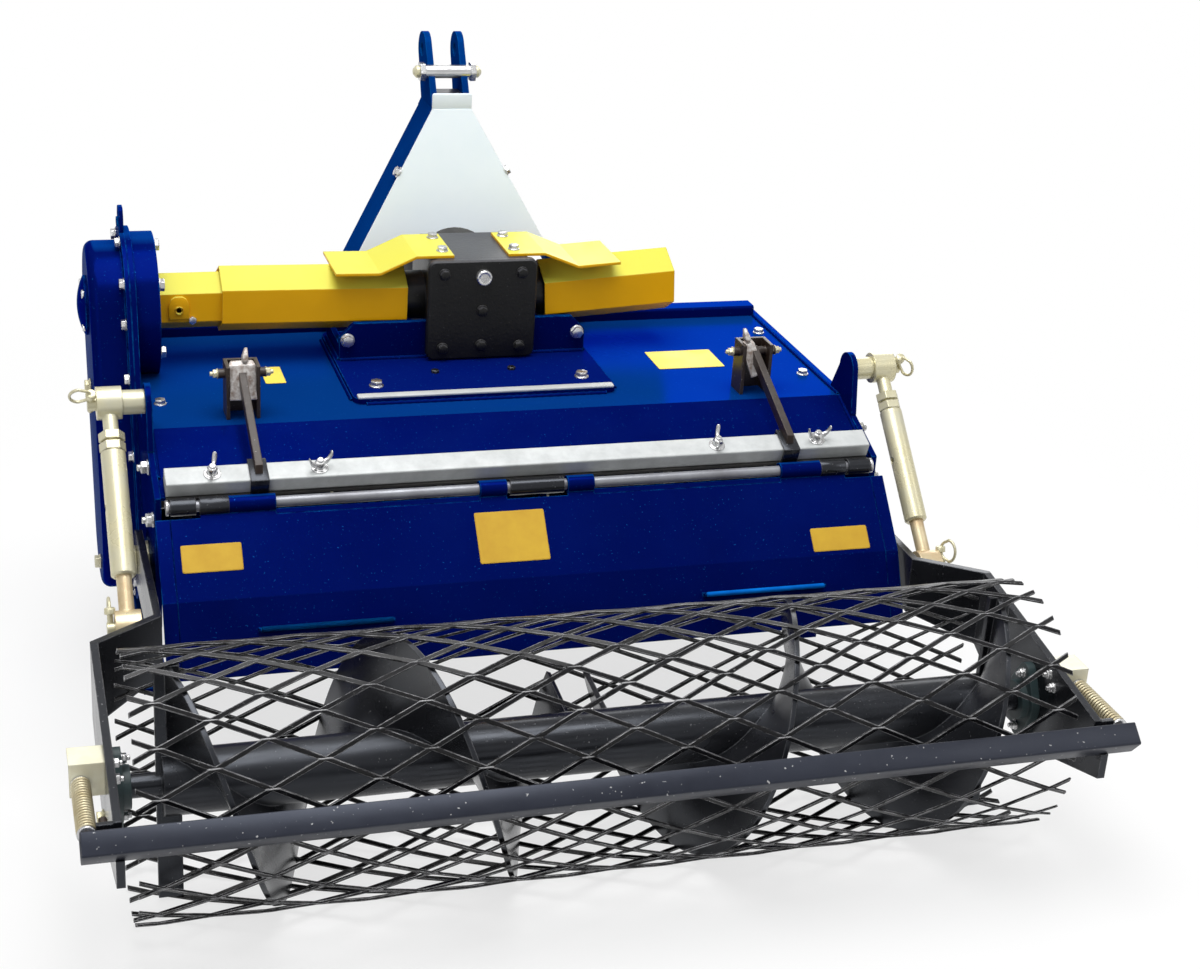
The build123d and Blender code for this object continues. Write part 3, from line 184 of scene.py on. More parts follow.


# the blue paints carry painted light: lighter azure patches on up-facing faces are a painted reflection, cyan
# edges a painted highlight
bluePaint = dict(
    rough=0.24, roughVary=0.10, metal=0.22, dust=0.02, dustColour=(0.03, 0.10, 0.35),
    speck=0.5, speckScale=300, speckColour=(0.01, 0.12, 0.45), edge=0.95, edgeColour=(0.003, 0.17, 0.55),
    shine=0.0, shineTint=(0.02, 0.30, 1.0), upColour=(0.0010, 0.038, 0.215), upFrom=(0.945, 0.99))
# where a finish sets a colour for up-facing faces (the blue paints, the guard yellow, the cast black, the
# blank decals), that colour is a painted top light
finishes = {
    "blue": makeFinish("gloss_blue", (0.0007, 0.0055, 0.105), tint=(0.0005, 0.0034, 0.074), **bluePaint),
    # the base plate's finish is the blue paint with a much weaker painted top light, so its top stays dark
    # navy
    "base": makeFinish(
        "base_blue", (0.0006, 0.0045, 0.115), tint=(0.0005, 0.0034, 0.090),
        **dict(bluePaint, metal=0.10, upColour=(0.0007, 0.007, 0.125))),
    # the mast legs' finish is the blue paint made brighter azure, a painted light on legs that face up towards
    # the light
    "mast": makeFinish(
        "mast_blue", (0.0004, 0.036, 0.190), tint=(0.0004, 0.022, 0.135), **dict(bluePaint, metal=0.06)),
    # the lip bars' finish is the blue paint made bright azure, a painted highlight where light catches them
    "sky": makeFinish(
        "lit_blue", (0.003, 0.16, 0.62), tint=(0.002, 0.10, 0.46), tintScale=20,
        **dict(bluePaint, metal=0, upColour=None)),
    "weld": makeFinish("painted_weld", (0.0007, 0.0055, 0.105), lumps=0.8, lumpScale=300, **bluePaint),
    "yellow": makeFinish(
        "guard_yellow", (0.90, 0.46, 0.002), tint=(0.82, 0.41, 0.002), rough=0.42, dust=0.03, edge=0.35,
        edgeColour=(0.90, 0.70, 0.15), tintScale=5, speck=0.12, speckColour=(0.5, 0.3, 0.02),
        upColour=(0.70, 0.66, 0.075), shine=0.2),
    "black": makeFinish(
        "black_paint", (0.0060, 0.0060, 0.0070), tint=(0.011, 0.0115, 0.014), rough=0.26, dust=0.06,
        dustColour=(0.12, 0.12, 0.12), speck=0.4, speckScale=210, speckColour=(0.30, 0.30, 0.31),
        edge=0.7, edgeColour=(0.30, 0.30, 0.31), shineTint=(0.82, 0.88, 1.0)),
    # cage_black: the bright edge colour is a painted highlight along the strands' edges
    "cage": makeFinish(
        "cage_black", (0.0030, 0.0030, 0.0034), tint=(0.006, 0.006, 0.007), rough=0.28, dust=0.04,
        dustColour=(0.20, 0.19, 0.18), edge=2.4, edgeColour=(0.62, 0.62, 0.64), edgeRadius=0.0016,
        worn=cageWear, wornColour=(0.017, 0.017, 0.020), speck=0.35, speckColour=(0.5, 0.5, 0.5),
        shine=0.22),
    "cast": makeFinish(
        "cast_black", (0.0050, 0.0050, 0.0045), tint=(0.010, 0.010, 0.010), rough=0.34, lumps=0.5,
        lumpScale=180, speck=0.3, speckColour=(0.10, 0.10, 0.10), edge=0.4, edgeColour=(0.09, 0.09, 0.09),
        shine=0.28, upColour=(0.045, 0.045, 0.052)),
    "teal": makeFinish(
        "bearing_teal", (0.035, 0.060, 0.065), tint=(0.02, 0.04, 0.042), rough=0.5, lumps=0.5,
        lumpScale=160, edge=0.4, edgeColour=(0.18, 0.22, 0.22)),
    "galvanised": makeFinish(
        "galvanised", (0.58, 0.60, 0.60), tint=(0.46, 0.48, 0.48), tintScale=28, rough=0.45, metal=0.1,
        dust=0.1, speck=0.15, speckColour=(0.2, 0.2, 0.2), edge=0.2, edgeColour=(0.25, 0.25, 0.25)),
    "zinc": makeFinish(
        "yellow_zinc", (0.70, 0.64, 0.40), tint=(0.60, 0.58, 0.44), tintScale=11, rough=0.30, metal=0.4,
        edge=0.3, edgeColour=(0.80, 0.78, 0.68), speck=0.3, speckColour=(0.28, 0.20, 0.08)),
    "rod": makeFinish(
        "brown_zinc", (0.70, 0.61, 0.40), tint=(0.54, 0.40, 0.23), tintScale=26, rough=0.34, metal=0.4,
        edge=0.3, edgeColour=(0.80, 0.76, 0.64), speck=0.3, speckColour=(0.20, 0.12, 0.05)),
    "spring": makeFinish(
        "spring_wire", (0.66, 0.60, 0.42), tint=(0.50, 0.42, 0.25), tintScale=30, rough=0.34, metal=0.5,
        speck=0.3, speckColour=(0.10, 0.07, 0.03)),
    "steel": makeFinish(
        "bare_steel", (0.66, 0.66, 0.66), tint=(0.48, 0.48, 0.49), tintScale=20, rough=0.26, metal=0.9,
        edge=0.3, edgeColour=(0.8, 0.8, 0.8)),
    "hinge": makeFinish(
        "rolled_steel", (0.30, 0.31, 0.34), tint=(0.20, 0.20, 0.22), tintScale=16, rough=0.36, metal=0.35,
        grain=0.005, shine=0.35),
    "rubber": makeFinish("rubber_black", (0.008, 0.008, 0.009), rough=0.7, dust=0.15, lumps=0.2),
    "pale": makeFinish(
        "pale_plate", (0.86, 0.94, 0.99), tint=(0.82, 0.91, 0.97), tintScale=7, rough=0.3, roughVary=0.05,
        edge=0.2, edgeColour=(0.5, 0.6, 0.7), dust=0.02),
    "brown": makeFinish(
        "brown_paint", (0.016, 0.009, 0.007), tint=(0.035, 0.020, 0.013), rough=0.45, edge=0.6, dust=0.1,
        edgeColour=(0.20, 0.15, 0.11), speck=0.4),
    "worn": makeFinish(
        "speckled_block", (0.66, 0.64, 0.62), tint=(0.24, 0.18, 0.15), tintScale=120, rough=0.4,
        metal=0.3, edge=0.5, edgeColour=(0.7, 0.7, 0.7), speck=0.9, speckScale=200,
        speckColour=(0.05, 0.04, 0.035), lumps=0.6, lumpScale=140),
    "cream": makeFinish(
        "cream_paint", (0.90, 0.88, 0.70), tint=(0.82, 0.77, 0.56), tintScale=24, rough=0.45, edge=0.3,
        edgeColour=(0.95, 0.93, 0.82), speck=0.2, speckColour=(0.35, 0.28, 0.16)),
    "soil": makeFinish(
        "worn_blades", (0.06, 0.055, 0.05), tint=(0.12, 0.115, 0.11), tintScale=16, rough=0.45, metal=0.6,
        edge=0.8),
    "slate": makeFinish(
        "scraper_slate", (0.0085, 0.0095, 0.016), tint=(0.014, 0.016, 0.025), tintScale=7, rough=0.40,
        dust=0.06, dustColour=(0.16, 0.17, 0.19), edge=0.8, edgeColour=(0.30, 0.30, 0.31), speck=0.7,
        speckScale=150, speckColour=(0.55, 0.55, 0.55), shine=0.4, shineTint=(0.75, 0.82, 1.0)),
    "decal": makeFinish(
        "blank_yellow", (0.64, 0.40, 0.035), tint=(0.55, 0.32, 0.03), rough=0.5, edge=0.3,
        edgeColour=(0.4, 0.28, 0.06), tintScale=14, upColour=(0.88, 0.70, 0.10), upFrom=(0.80, 0.98),
        shine=0.2),
}
nodeFinish = {
    "blue": "hood_panel front_rail front_apron side_plate_left side_plate_right skids stone_comb "
            "gearbox_braces chain_case chain_case_cap hitch_plates flap",
    "base": "gearbox_base",
    "mast": "mast_legs",
    "yellow": "shaft_guard_left shaft_guard_right shaft_guard_tail guard_straps",
    "cast": "gearbox gearbox_cover rotor_bearings",
    "black": "mast_spacer hinge_knuckles roller_arm_left roller_arm_right roller_core rotor_tube",
    "cage": "roller_cage",
    "teal": "roller_bearings",
    "galvanised": "batten",
    "zinc": "turnbuckle_barrel_left turnbuckle_barrel_right turnbuckle_upper_pins turnbuckle_lower_pins "
            "arm_pivot_bolts lower_link_pins",
    "rod": "turnbuckle_rod_left turnbuckle_rod_right",
    "steel": "top_link_pin pto_shaft",
    "hinge": "hinge_rod",
    "rubber": "rubber_strip",
    "pale": "mast_sheet",
    "brown": "hold_downs scraper_bolts",
    "cream": "scraper_seats",
    "soil": "rotor_blades",
    "slate": "scraper_bar",
}
for finishName, nodeNames in nodeFinish.items():
    for nodeName in nodeNames.split():
        slots = bpy.data.objects[nodeName].data.materials
        slots.clear()
        slots.append(finishes[finishName])
print("finishes on", sum(len(names.split()) for names in nodeFinish.values()), "nodes")


# modelling helpers
sides = (-1, 1)
rear, front, top, left, right = (0, -1, 0), (0, 1, 0), (0, 0, 1), (-1, 0, 0), (1, 0, 0)
square = 0.9    # a face looks along an axis where its normal has more than this of it


def looksUp(centre, normal):
    return normal.z > square


def looksAhead(centre, normal):
    return normal.y > square


def looksUpOrDown(centre, normal):
    return abs(normal.z) > square


def looksAside(centre, normal):
    return abs(normal.x) > square


def clearPick():
    bpy.ops.object.select_all(action="DESELECT")


def pick(piece):
    clearPick()
    piece.select_set(True)
    bpy.context.view_layer.objects.active = piece


def startWith(kind, name, **size):
    clearPick()
    getattr(bpy.ops.mesh, f"primitive_{kind}_add")(**size)
    piece = bpy.context.object
    piece.name = name
    bpy.ops.object.transform_apply(location=True, rotation=True, scale=True)
    return piece


def startBox(name, size, at=(0, 0, 0)):
    return startWith("cube", name, size=1, location=at, scale=size)


def startDisc(name, corners, radius, high, seat=0.0):
    middle = (0, 0, seat + high / 2)
    return startWith("cylinder", name, vertices=corners, radius=radius, depth=high, location=middle)


def clearMesh(mesh):
    for part in (mesh.vertices, mesh.edges, mesh.polygons):
        part.foreach_set("select", [False] * len(part))


def pickFaces(piece, test):
    clearMesh(piece.data)
    for face in piece.data.polygons:
        face.select = bool(test(face.center, face.normal))
    bpy.ops.object.mode_set(mode="EDIT")
    bpy.ops.mesh.select_mode(type="FACE")


def leaveEdit():
    bpy.ops.object.mode_set(mode="OBJECT")


def drawOut(move, scale=None):
    bpy.ops.mesh.extrude_region_move(TRANSFORM_OT_translate={"value": move})
    if scale:
        bpy.ops.transform.resize(value=scale)


def roundEdges(width, rings):
    bpy.ops.mesh.bevel(offset=width, segments=rings, affect="EDGES")


def chamfer(piece, test, width, rings):
    pickFaces(piece, test)
    roundEdges(width, rings)
    leaveEdit()


def finishWith(piece, kind, **settings):
    pick(piece)
    modifier = piece.modifiers.new(kind, kind)
    for name, value in settings.items():
        setattr(modifier, name, value)
    bpy.ops.object.modifier_apply(modifier=modifier.name)


def joinAll(name, parts):
    pick(parts[0])
    for part in parts:
        part.select_set(True)
    if len(parts) > 1:
        bpy.ops.object.join()
    joined = bpy.context.object
    joined.name = name
    return joined


def copyTo(model, at, along=top, turn=0.0, size=1.0):
    twin = model.copy()
    twin.data = model.data.copy()
    bpy.context.collection.objects.link(twin)
    spin = Matrix.Identity(4)
    if tuple(along) != top:
        spin = Vector(along).to_track_quat("Z", "Y").to_matrix().to_4x4()
    twin.data.transform(Matrix.Translation(at) @ spin @ Matrix.Rotation(turn, 4, "Z") @ Matrix.Scale(size, 4))
    return twin


def settle(piece, body, finish, smooth=35):
    pick(piece)
    bpy.ops.object.shade_smooth_by_angle(angle=radians(smooth))
    piece.data.materials.clear()
    piece.data.materials.append(finishes[finish])
    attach(piece, body)
    return piece


def placeAll(name, model, spots, body, finish, smooth=35):
    # a spot is a place and a direction, then a turn and a size where they matter
    return settle(joinAll(name, [copyTo(model, *spot) for spot in spots]), body, finish, smooth)


def layOn(piece, at, across, up):
    # the piece's x goes along across and its y along up
    upWay = Vector(up).normalized()
    acrossWay = (Vector(across) - upWay * upWay.dot(Vector(across))).normalized()
    out = acrossWay.cross(upWay)
    piece.data.transform(Matrix.Translation(at) @ Matrix((acrossWay, upWay, out)).transposed().to_4x4())
    return piece


def mirrored(x, spots, way=None, out=1, centre=0.0):
    # spots of y and z on both sides, at x from the centre, that face one way or else straight out
    return [((centre + side * x, *spot), way or (out * side, 0, 0)) for side in sides for spot in spots]


def circleSpot(first, second, radius, turn):
    return first + radius * cos(turn), second + radius * sin(turn)


# fasteners are modelled once along +Z, with the seat at z = 0; edges and threads are shares of the size
hexShape = {"washer": 0.68, "washerEdge": 0.3, "headEdge": 0.14, "thread": 0.3, "threadEdge": 0.06}
hexSizes = {    # width across flats, head, washer, thread above the head
    "m12": (0.019, 0.008, 0.0025, 0.0), "m10": (0.016, 0.007, 0.002, 0.0), "small": (0.013, 0.0055, 0.0, 0.0),
    "nut12": (0.019, 0.010, 0.0025, 0.006), "nut8": (0.013, 0.0065, 0.0016, 0.005),
}
boltTurn = 0.4


def hexBolt(name, across, head, washer, stub):
    parts = []
    if washer:
        ring = startDisc("washer", 20, across * hexShape["washer"], washer)
        chamfer(ring, looksUp, washer * hexShape["washerEdge"], 1)
        parts.append(ring)
    hexagon = startDisc("head", 6, across / 2 / cos(pi / 6), head, washer)
    chamfer(hexagon, looksUp, head * hexShape["headEdge"], 2)
    parts.append(hexagon)
    if stub:
        thread = startDisc("thread", 14, across * hexShape["thread"], stub, washer + head)
        chamfer(thread, looksUp, across * hexShape["threadEdge"], 1)
        parts.append(thread)
    return joinAll(name, parts)


plug = {"radius": 0.0145, "high": 0.012, "edge": 0.004, "flat": 0.98, "rim": 0.003, "dip": 0.0015}


def roundPlug():
    piece = startDisc("roundPlug", 28, plug["radius"], plug["high"])
    chamfer(piece, looksUp, plug["edge"], 4)
    pickFaces(piece, lambda centre, normal: normal.z > plug["flat"])
    bpy.ops.mesh.inset(thickness=plug["rim"], depth=-plug["dip"])
    leaveEdit()
    return piece


bolt = {kind: hexBolt(kind, *size) for kind, size in hexSizes.items()}
bolt["round"] = roundPlug()


def boltGroup(name, kind, spots, body, finish):
    return placeAll(name, bolt[kind], [(*spot, boltTurn * n) for n, spot in enumerate(spots)], body, finish)


# gearbox, deck and side plates
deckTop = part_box("hood_panel")[1][2]
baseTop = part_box("gearbox_base")[1][2]
baseX = middleOf("gearbox_base").x    # the base plate is off the middle
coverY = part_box("gearbox_cover")[0][1]
gear = {"boltX": 0.071, "boltZs": (0.539, 0.678), "plugZ": 0.672, "levelZs": (0.608, 0.543)}
coverSpots = mirrored(gear["boltX"], [(coverY, z) for z in gear["boltZs"]], rear)
boltGroup("cover_bolts", "m10", coverSpots, "frame", "cast")
boltGroup("cover_plugs", "round", [((0, coverY, gear["plugZ"]), rear)], "frame", "steel")
levelSpots = [((0, coverY, z), rear) for z in gear["levelZs"]]
boltGroup("cover_level_plugs", "m10", levelSpots, "frame", "cast")
strap = {"x": 0.066, "ys": (0.368, 0.450), "z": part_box("guard_straps")[1][2]}
strapSpots = [((side * strap["x"], y, strap["z"]), top) for y in strap["ys"] for side in sides]
boltGroup("strap_bolts", "m10", strapSpots, "frame", "steel")
brace = {"x": 0.213, "y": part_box("gearbox_braces")[0][1], "z": 0.553, "footX": 0.186,
         "footYs": (0.212, 0.440), "plugX": 0.070, "plugY": 0.265}
braceSpots = mirrored(brace["x"], [(brace["y"], brace["z"])], rear, centre=baseX)
footSpots = mirrored(brace["footX"], [(y, baseTop) for y in brace["footYs"]], top, centre=baseX)
boltGroup("brace_bolts", "m12", braceSpots + footSpots, "frame", "steel")
plugSpots = mirrored(brace["plugX"], [(brace["plugY"], baseTop)], top, centre=baseX)
boltGroup("base_plugs", "small", plugSpots, "frame", "black")
deckBolt = {"x": 0.583, "ys": (0.20, 0.43)}
deckSpots = mirrored(deckBolt["x"], [(y, deckTop) for y in deckBolt["ys"]], top)
boltGroup("deck_bolts", "m10", deckSpots, "frame", "steel")
mastBolt = {"x": 0.1015, "y": 0.588, "z": 0.792, "tilt": 0.5204}
mastSpots = [((side * mastBolt["x"], mastBolt["y"], mastBolt["z"]),
              (side * cos(mastBolt["tilt"]), 0, sin(mastBolt["tilt"]))) for side in sides]
boltGroup("mast_leg_bolts", "m10", mastSpots, "frame", "steel")
sideStud = {"x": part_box("side_plate_right")[1][0], "spots": ((0.023, 0.466), (-0.046, 0.404))}
boltGroup("side_studs", "nut12", mirrored(sideStud["x"], sideStud["spots"]), "frame", "steel")
skidBolt = {"x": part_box("skids")[1][0], "spots": ((0.205, 0.055), (0.325, 0.055))}
boltGroup("skid_bolts", "m12", mirrored(skidBolt["x"], skidBolt["spots"]), "frame", "zinc")
print("plain bolts placed")

# bolts round the chain case: along both arcs and the straight runs between them
case = {"top": (0.414, 0.612, 0.124), "low": (0.290, 0.245, 0.120), "outX": -0.628,
        "topTurns": (20, 62, 104, 146, 178), "lowTurns": (-4, -52, -100, -148, 170), "runs": (0.33, 0.67),
        "collarX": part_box("side_plate_left")[1][0], "collarR": 0.106, "collarTurns": (35, 90, 145, 215, 325),
        "capX": -0.690, "capR": 0.043, "capTurns": (0.8, 2.37, 3.94, 5.51),
        "plugX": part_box("chain_case")[0][0], "plugs": ((0.372, 0.478), (0.262, 0.190))}
caseSpots = [circleSpot(*case[end], radians(turn)) for end in ("top", "low") for turn in case[end + "Turns"]]
(topY, topZ, topR), (lowY, lowZ, lowR) = case["top"], case["low"]
span = hypot(topY - lowY, topZ - lowZ)
awayY, awayZ = (topZ - lowZ) / span, (lowY - topY) / span
for side in sides:
    for share in case["runs"]:
        radius = side * (topR + (lowR - topR) * share)
        y = topY + (lowY - topY) * share + awayY * radius
        z = topZ + (lowZ - topZ) * share + awayZ * radius
        caseSpots.append((y, z))
boltGroup("case_flange_bolts", "m10", [((case["outX"], *spot), left) for spot in caseSpots], "frame", "steel")
collarSpots = [((case["collarX"], *circleSpot(topY, topZ, case["collarR"], radians(turn))), right)
               for turn in case["collarTurns"]]
boltGroup("collar_bolts", "m12", collarSpots, "frame", "steel")
capSpots = [((case["capX"], *circleSpot(topY, topZ, case["capR"], turn)), left) for turn in case["capTurns"]]
boltGroup("case_cap_bolts", "small", capSpots, "frame", "steel")
print("chain case bolted")

# roller frame fasteners
arm = {"outX": 0.740, "inX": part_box("roller_bearings")[1][0], "nutX": 0.714, "lobes": (0.150, 0.246),
       "seatSpots": ((-0.560, 0.272), (-0.576, 0.256))}
hubY = middleOf("roller_bearings").y
lobeSpots = [(hubY, z) for z in arm["lobes"]]
boltGroup("bearing_bolts", "m12", mirrored(arm["outX"], lobeSpots), "roller_frame", "zinc")
boltGroup("bearing_nuts", "nut8", mirrored(arm["nutX"], lobeSpots, out=-1), "roller_frame", "steel")
boltGroup("seat_bolts", "nut8", mirrored(arm["inX"], arm["seatSpots"], out=-1), "roller_frame", "steel")

# blade bolts: two through each blade and flange
rotor = {"flanges": 6, "reach": 0.988, "face": 0.013, "boltR": 0.068, "blades": 4, "leans": (-15, 15)}
rotorMiddle = middleOf("rotor_tube")
bladeSpots = []
for n in range(rotor["flanges"]):
    x = (n / (rotor["flanges"] - 1) - 0.5) * rotor["reach"]
    for k in range(rotor["blades"]):
        hand = 1 if k % 2 else -1
        for lean in rotor["leans"]:
            turn = radians(360 / rotor["blades"] * (k + n / rotor["flanges"]) + lean)
            spot = circleSpot(rotorMiddle.y, rotorMiddle.z, rotor["boltR"], turn)
            bladeSpots.append(((x + hand * rotor["face"], *spot), (hand, 0, 0)))
boltGroup("blade_bolts", "small", bladeSpots, "rotor", "zinc")
print("roller and rotor bolted")

# wing bolts on the batten
wing = {"slope": atan2(0.058, 0.150), "y": -0.0566, "z": 0.4826, "xs": (-0.528, -0.356, 0.325, 0.509),
        "turns": (1.3, 0.4, 1.4, 0.1), "stem": (0.0085, 0.012), "shoulder": (0.002, 0.003),
        "thread": (0.0015, 0.004), "ear": (0.010, 0.008, 0.012), "earX": 0.009, "earZ": 0.010,
        "earOut": 0.004, "earRises": (0.008, 0.010), "earTip": (1, 1.2, 0.9),
        "washer": (0.014, 0.002), "washerEdge": 0.0007}


def wingBolt():
    stem = startDisc("stem", 18, *wing["stem"])
    pickFaces(stem, looksUp)
    bpy.ops.mesh.inset(thickness=wing["shoulder"][0], depth=wing["shoulder"][1])
    bpy.ops.mesh.inset(thickness=wing["thread"][0], depth=0.0)
    drawOut((0, 0, wing["thread"][1]))
    leaveEdit()
    parts = [stem]
    for side in sides:
        ear = startBox("ear", wing["ear"], (side * wing["earX"], 0, wing["earZ"]))
        pickFaces(ear, lambda centre, normal: normal.x * side > square)
        for rise in wing["earRises"]:
            drawOut((side * wing["earOut"], 0, rise))
        bpy.ops.transform.resize(value=wing["earTip"])
        leaveEdit()
        finishWith(ear, "SUBSURF", levels=2, render_levels=2)
        parts.append(ear)
    washer = startDisc("washer", 24, *wing["washer"])
    chamfer(washer, looksUp, wing["washerEdge"], 1)
    return joinAll("wingBolt", [*parts, washer])


wingModel = wingBolt()
wingUp = (0, -sin(wing["slope"]), cos(wing["slope"]))
placeAll("batten_wing_bolts", wingModel, [((x, wing["y"], wing["z"]), wingUp, turn)
                                          for x, turn in zip(wing["xs"], wing["turns"])], "frame", "steel")

# black clips over the batten below the hold-down arms, lifted from the slope's foot along and off the slope
clip = {"xs": (-0.455, 0.455), "size": (0.030, 0.046, 0.034), "wall": 0.004, "edge": 0.0012,
        "foot": (-0.060, 0.447), "lift": (0.016, 0.0165)}


def battenClip():
    saddle = startBox("saddle", clip["size"])
    pickFaces(saddle, lambda centre, normal: normal.z < -square or abs(normal.x) > square)
    bpy.ops.mesh.delete(type="FACE")
    leaveEdit()
    finishWith(saddle, "SOLIDIFY", thickness=clip["wall"], offset=1)
    finishWith(saddle, "BEVEL", width=clip["edge"], segments=2)
    return saddle


clipModel = battenClip()
clipTilt = Matrix.Rotation(wing["slope"], 4, "X")
clipAt = Vector((0, *clip["foot"])) + clipTilt.to_3x3() @ Vector((0, *clip["lift"]))
clips = []
for x in clip["xs"]:
    twin = copyTo(clipModel, (0, 0, 0))
    twin.data.transform(Matrix.Translation((x, clipAt.y, clipAt.z)) @ clipTilt)
    clips.append(twin)
settle(joinAll("batten_clips", clips), "frame", "black")
print("batten fittings placed")

# latches in the deck brackets: a speckled plate that leans on the arm, and a pointed lever above it
latch = {"high": 0.058, "thick": 0.006, "y": 0.1215, "z": 0.5665, "up": (0.30, 0.954), "edge": 0.0015,
         "plates": ((-0.455, 0.045, 0.0), (0.449, 0.026, -0.32)),
         "lip": (0, 0.008, -0.006), "lipEnd": (0.8, 1, 1), "lever": (0.010, 0.010, 0.016), "leverX": 0.12,
         "leverY": 0.010, "leverZ": -0.002, "leverEdge": 0.002, "point": (0.003, 0.014, -0.004),
         "pointEnd": (0.5, 1, 0.5), "nutX": 0.0395, "nut": (0.136, 0.579)}


def latchPlate(wide):
    plate = startBox("latchPlate", (wide, latch["high"], latch["thick"]))
    pickFaces(plate, looksAhead)
    drawOut(latch["lip"], latch["lipEnd"])
    leaveEdit()
    finishWith(plate, "BEVEL", width=latch["edge"], segments=2)
    leverAt = (wide * latch["leverX"], latch["high"] / 2 + latch["leverY"], latch["leverZ"])
    lever = startBox("lever", latch["lever"], leverAt)
    pickFaces(lever, looksAhead)
    drawOut(latch["point"], latch["pointEnd"])
    leaveEdit()
    finishWith(lever, "BEVEL", width=latch["leverEdge"], segments=2)
    return joinAll("latch", [plate, lever])


latches = [layOn(latchPlate(wide), (x, latch["y"], latch["z"]), right, (lean, *latch["up"]))
           for x, wide, lean in latch["plates"]]
settle(joinAll("hold_down_latches", latches), "frame", "worn")
nutSpots = [spot for x in clip["xs"] for spot in mirrored(latch["nutX"], [latch["nut"]], centre=x)]
boltGroup("hold_down_nuts", "nut8", nutSpots, "frame", "zinc")

# rounded tabs on the guard tail and on top of the chain case; a tab is wide, high, thick and has a stud
tab = {"tail": (0.036, 0.026, 0.005, 0.007), "tailAt": (-0.532, 0.3673, 0.609),
       "boltAt": (-0.509, 0.3697, 0.593),
       "case": (0.040, 0.030, 0.008, 0.009), "caseAt": (-0.6241, 0.414, 0.757),
       "shoulders": ((0.30, 0.72), (0.12, 0.5)), "edge": 0.0012, "studUp": 0.1, "proud": 0.003, "dip": 0.35}


def roundTab(name, wide, high, thick, stud):
    plate = startBox(name, (wide, high, thick))
    pickFaces(plate, looksAhead)
    for rise, narrow in tab["shoulders"]:
        drawOut((0, wide * rise, 0), (narrow, 1, 1))
    leaveEdit()
    finishWith(plate, "BEVEL", width=tab["edge"], segments=2)
    boss = startWith("cylinder", "stud", vertices=18, radius=stud, depth=thick + tab["proud"],
                     location=(0, wide * tab["studUp"], tab["proud"] / 2))
    pickFaces(boss, looksUp)
    bpy.ops.mesh.inset(thickness=stud * tab["dip"], depth=-tab["proud"])
    leaveEdit()
    return joinAll(name, [plate, boss])


settle(layOn(roundTab("guard_tail_tab", *tab["tail"]), tab["tailAt"], right, top), "frame", "yellow")
boltGroup("guard_tail_bolt", "small", [(tab["boltAt"], rear)], "frame", "steel")
settle(layOn(roundTab("case_top_tab", *tab["case"]), tab["caseAt"], rear, top), "frame", "blue")

# sleeves of the flap's end knuckles and collars on the hinge rod
hinge = middleOf("hinge_rod").yz
collar = {"radius": 0.0128, "thick": 0.005, "edge": 0.0012, "x": 0.6025}
sleeve = {"radius": 0.0147, "long": 0.0465, "x": 0.52925, "rim": 0.0025, "edge": 0.0008}


def rodCollar():
    piece = startWith("cylinder", "collar", vertices=28, radius=collar["radius"], depth=collar["thick"])
    chamfer(piece, looksUpOrDown, collar["edge"], 2)
    return piece


def knuckleSleeve():
    piece = startWith("cylinder", "sleeve", vertices=32, radius=sleeve["radius"], depth=sleeve["long"])
    pickFaces(piece, looksUpOrDown)
    bpy.ops.mesh.inset(thickness=sleeve["rim"], depth=0.0)
    leaveEdit()
    finishWith(piece, "BEVEL", width=sleeve["edge"], segments=2, limit_method="ANGLE")
    return piece


collarModel = rodCollar()
sleeveModel = knuckleSleeve()
placeAll("flap_knuckle_sleeves", sleeveModel, mirrored(sleeve["x"], [hinge]), "flap", "black")
placeAll("hinge_rod_collars", collarModel, mirrored(collar["x"], [hinge]), "frame", "steel")

# upper edge of the pale sheet, folded upright over the legs' turn
fold = {"size": (0.075, 0.004, 0.0285), "at": (0, 0.6095, 0.91775), "rise": 0.003, "narrow": 0.95,
        "edge": 0.001}
sheetFold = startBox("mast_sheet_fold", fold["size"], fold["at"])
pickFaces(sheetFold, looksUp)
drawOut((0, 0, fold["rise"]), (fold["narrow"], 1, 1))
leaveEdit()
finishWith(sheetFold, "BEVEL", width=fold["edge"], segments=2)
settle(sheetFold, "frame", "pale")

# conical tips of the top-link pin
pinTip = {"radius": 0.0115, "long": 0.012, "narrow": 0.45, "edge": 0.001}
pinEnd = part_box("top_link_pin")[1][0]


def coneTip():
    tip = startDisc("tip", 24, pinTip["radius"], pinTip["long"] / 2)
    pickFaces(tip, looksUp)
    drawOut((0, 0, pinTip["long"] / 2), (pinTip["narrow"], pinTip["narrow"], 1))
    roundEdges(pinTip["edge"], 2)
    leaveEdit()
    return tip


tipModel = coneTip()
placeAll("top_link_pin_tips", tipModel, mirrored(pinEnd, [middleOf("top_link_pin").yz]), "frame", "zinc")
print("latches and tabs placed")

# coil springs of the scraper bar, and the washers at their ends
coil = {"x": 0.774, "z": middleOf("scraper_bolts").z, "frontY": -0.5745, "rearY": -0.7027, "wire": 0.0021,
        "radius": 0.0120, "turns": 19, "steps": 16, "washerY": 0.0005, "washerSize": 1.05, "smooth": 60}


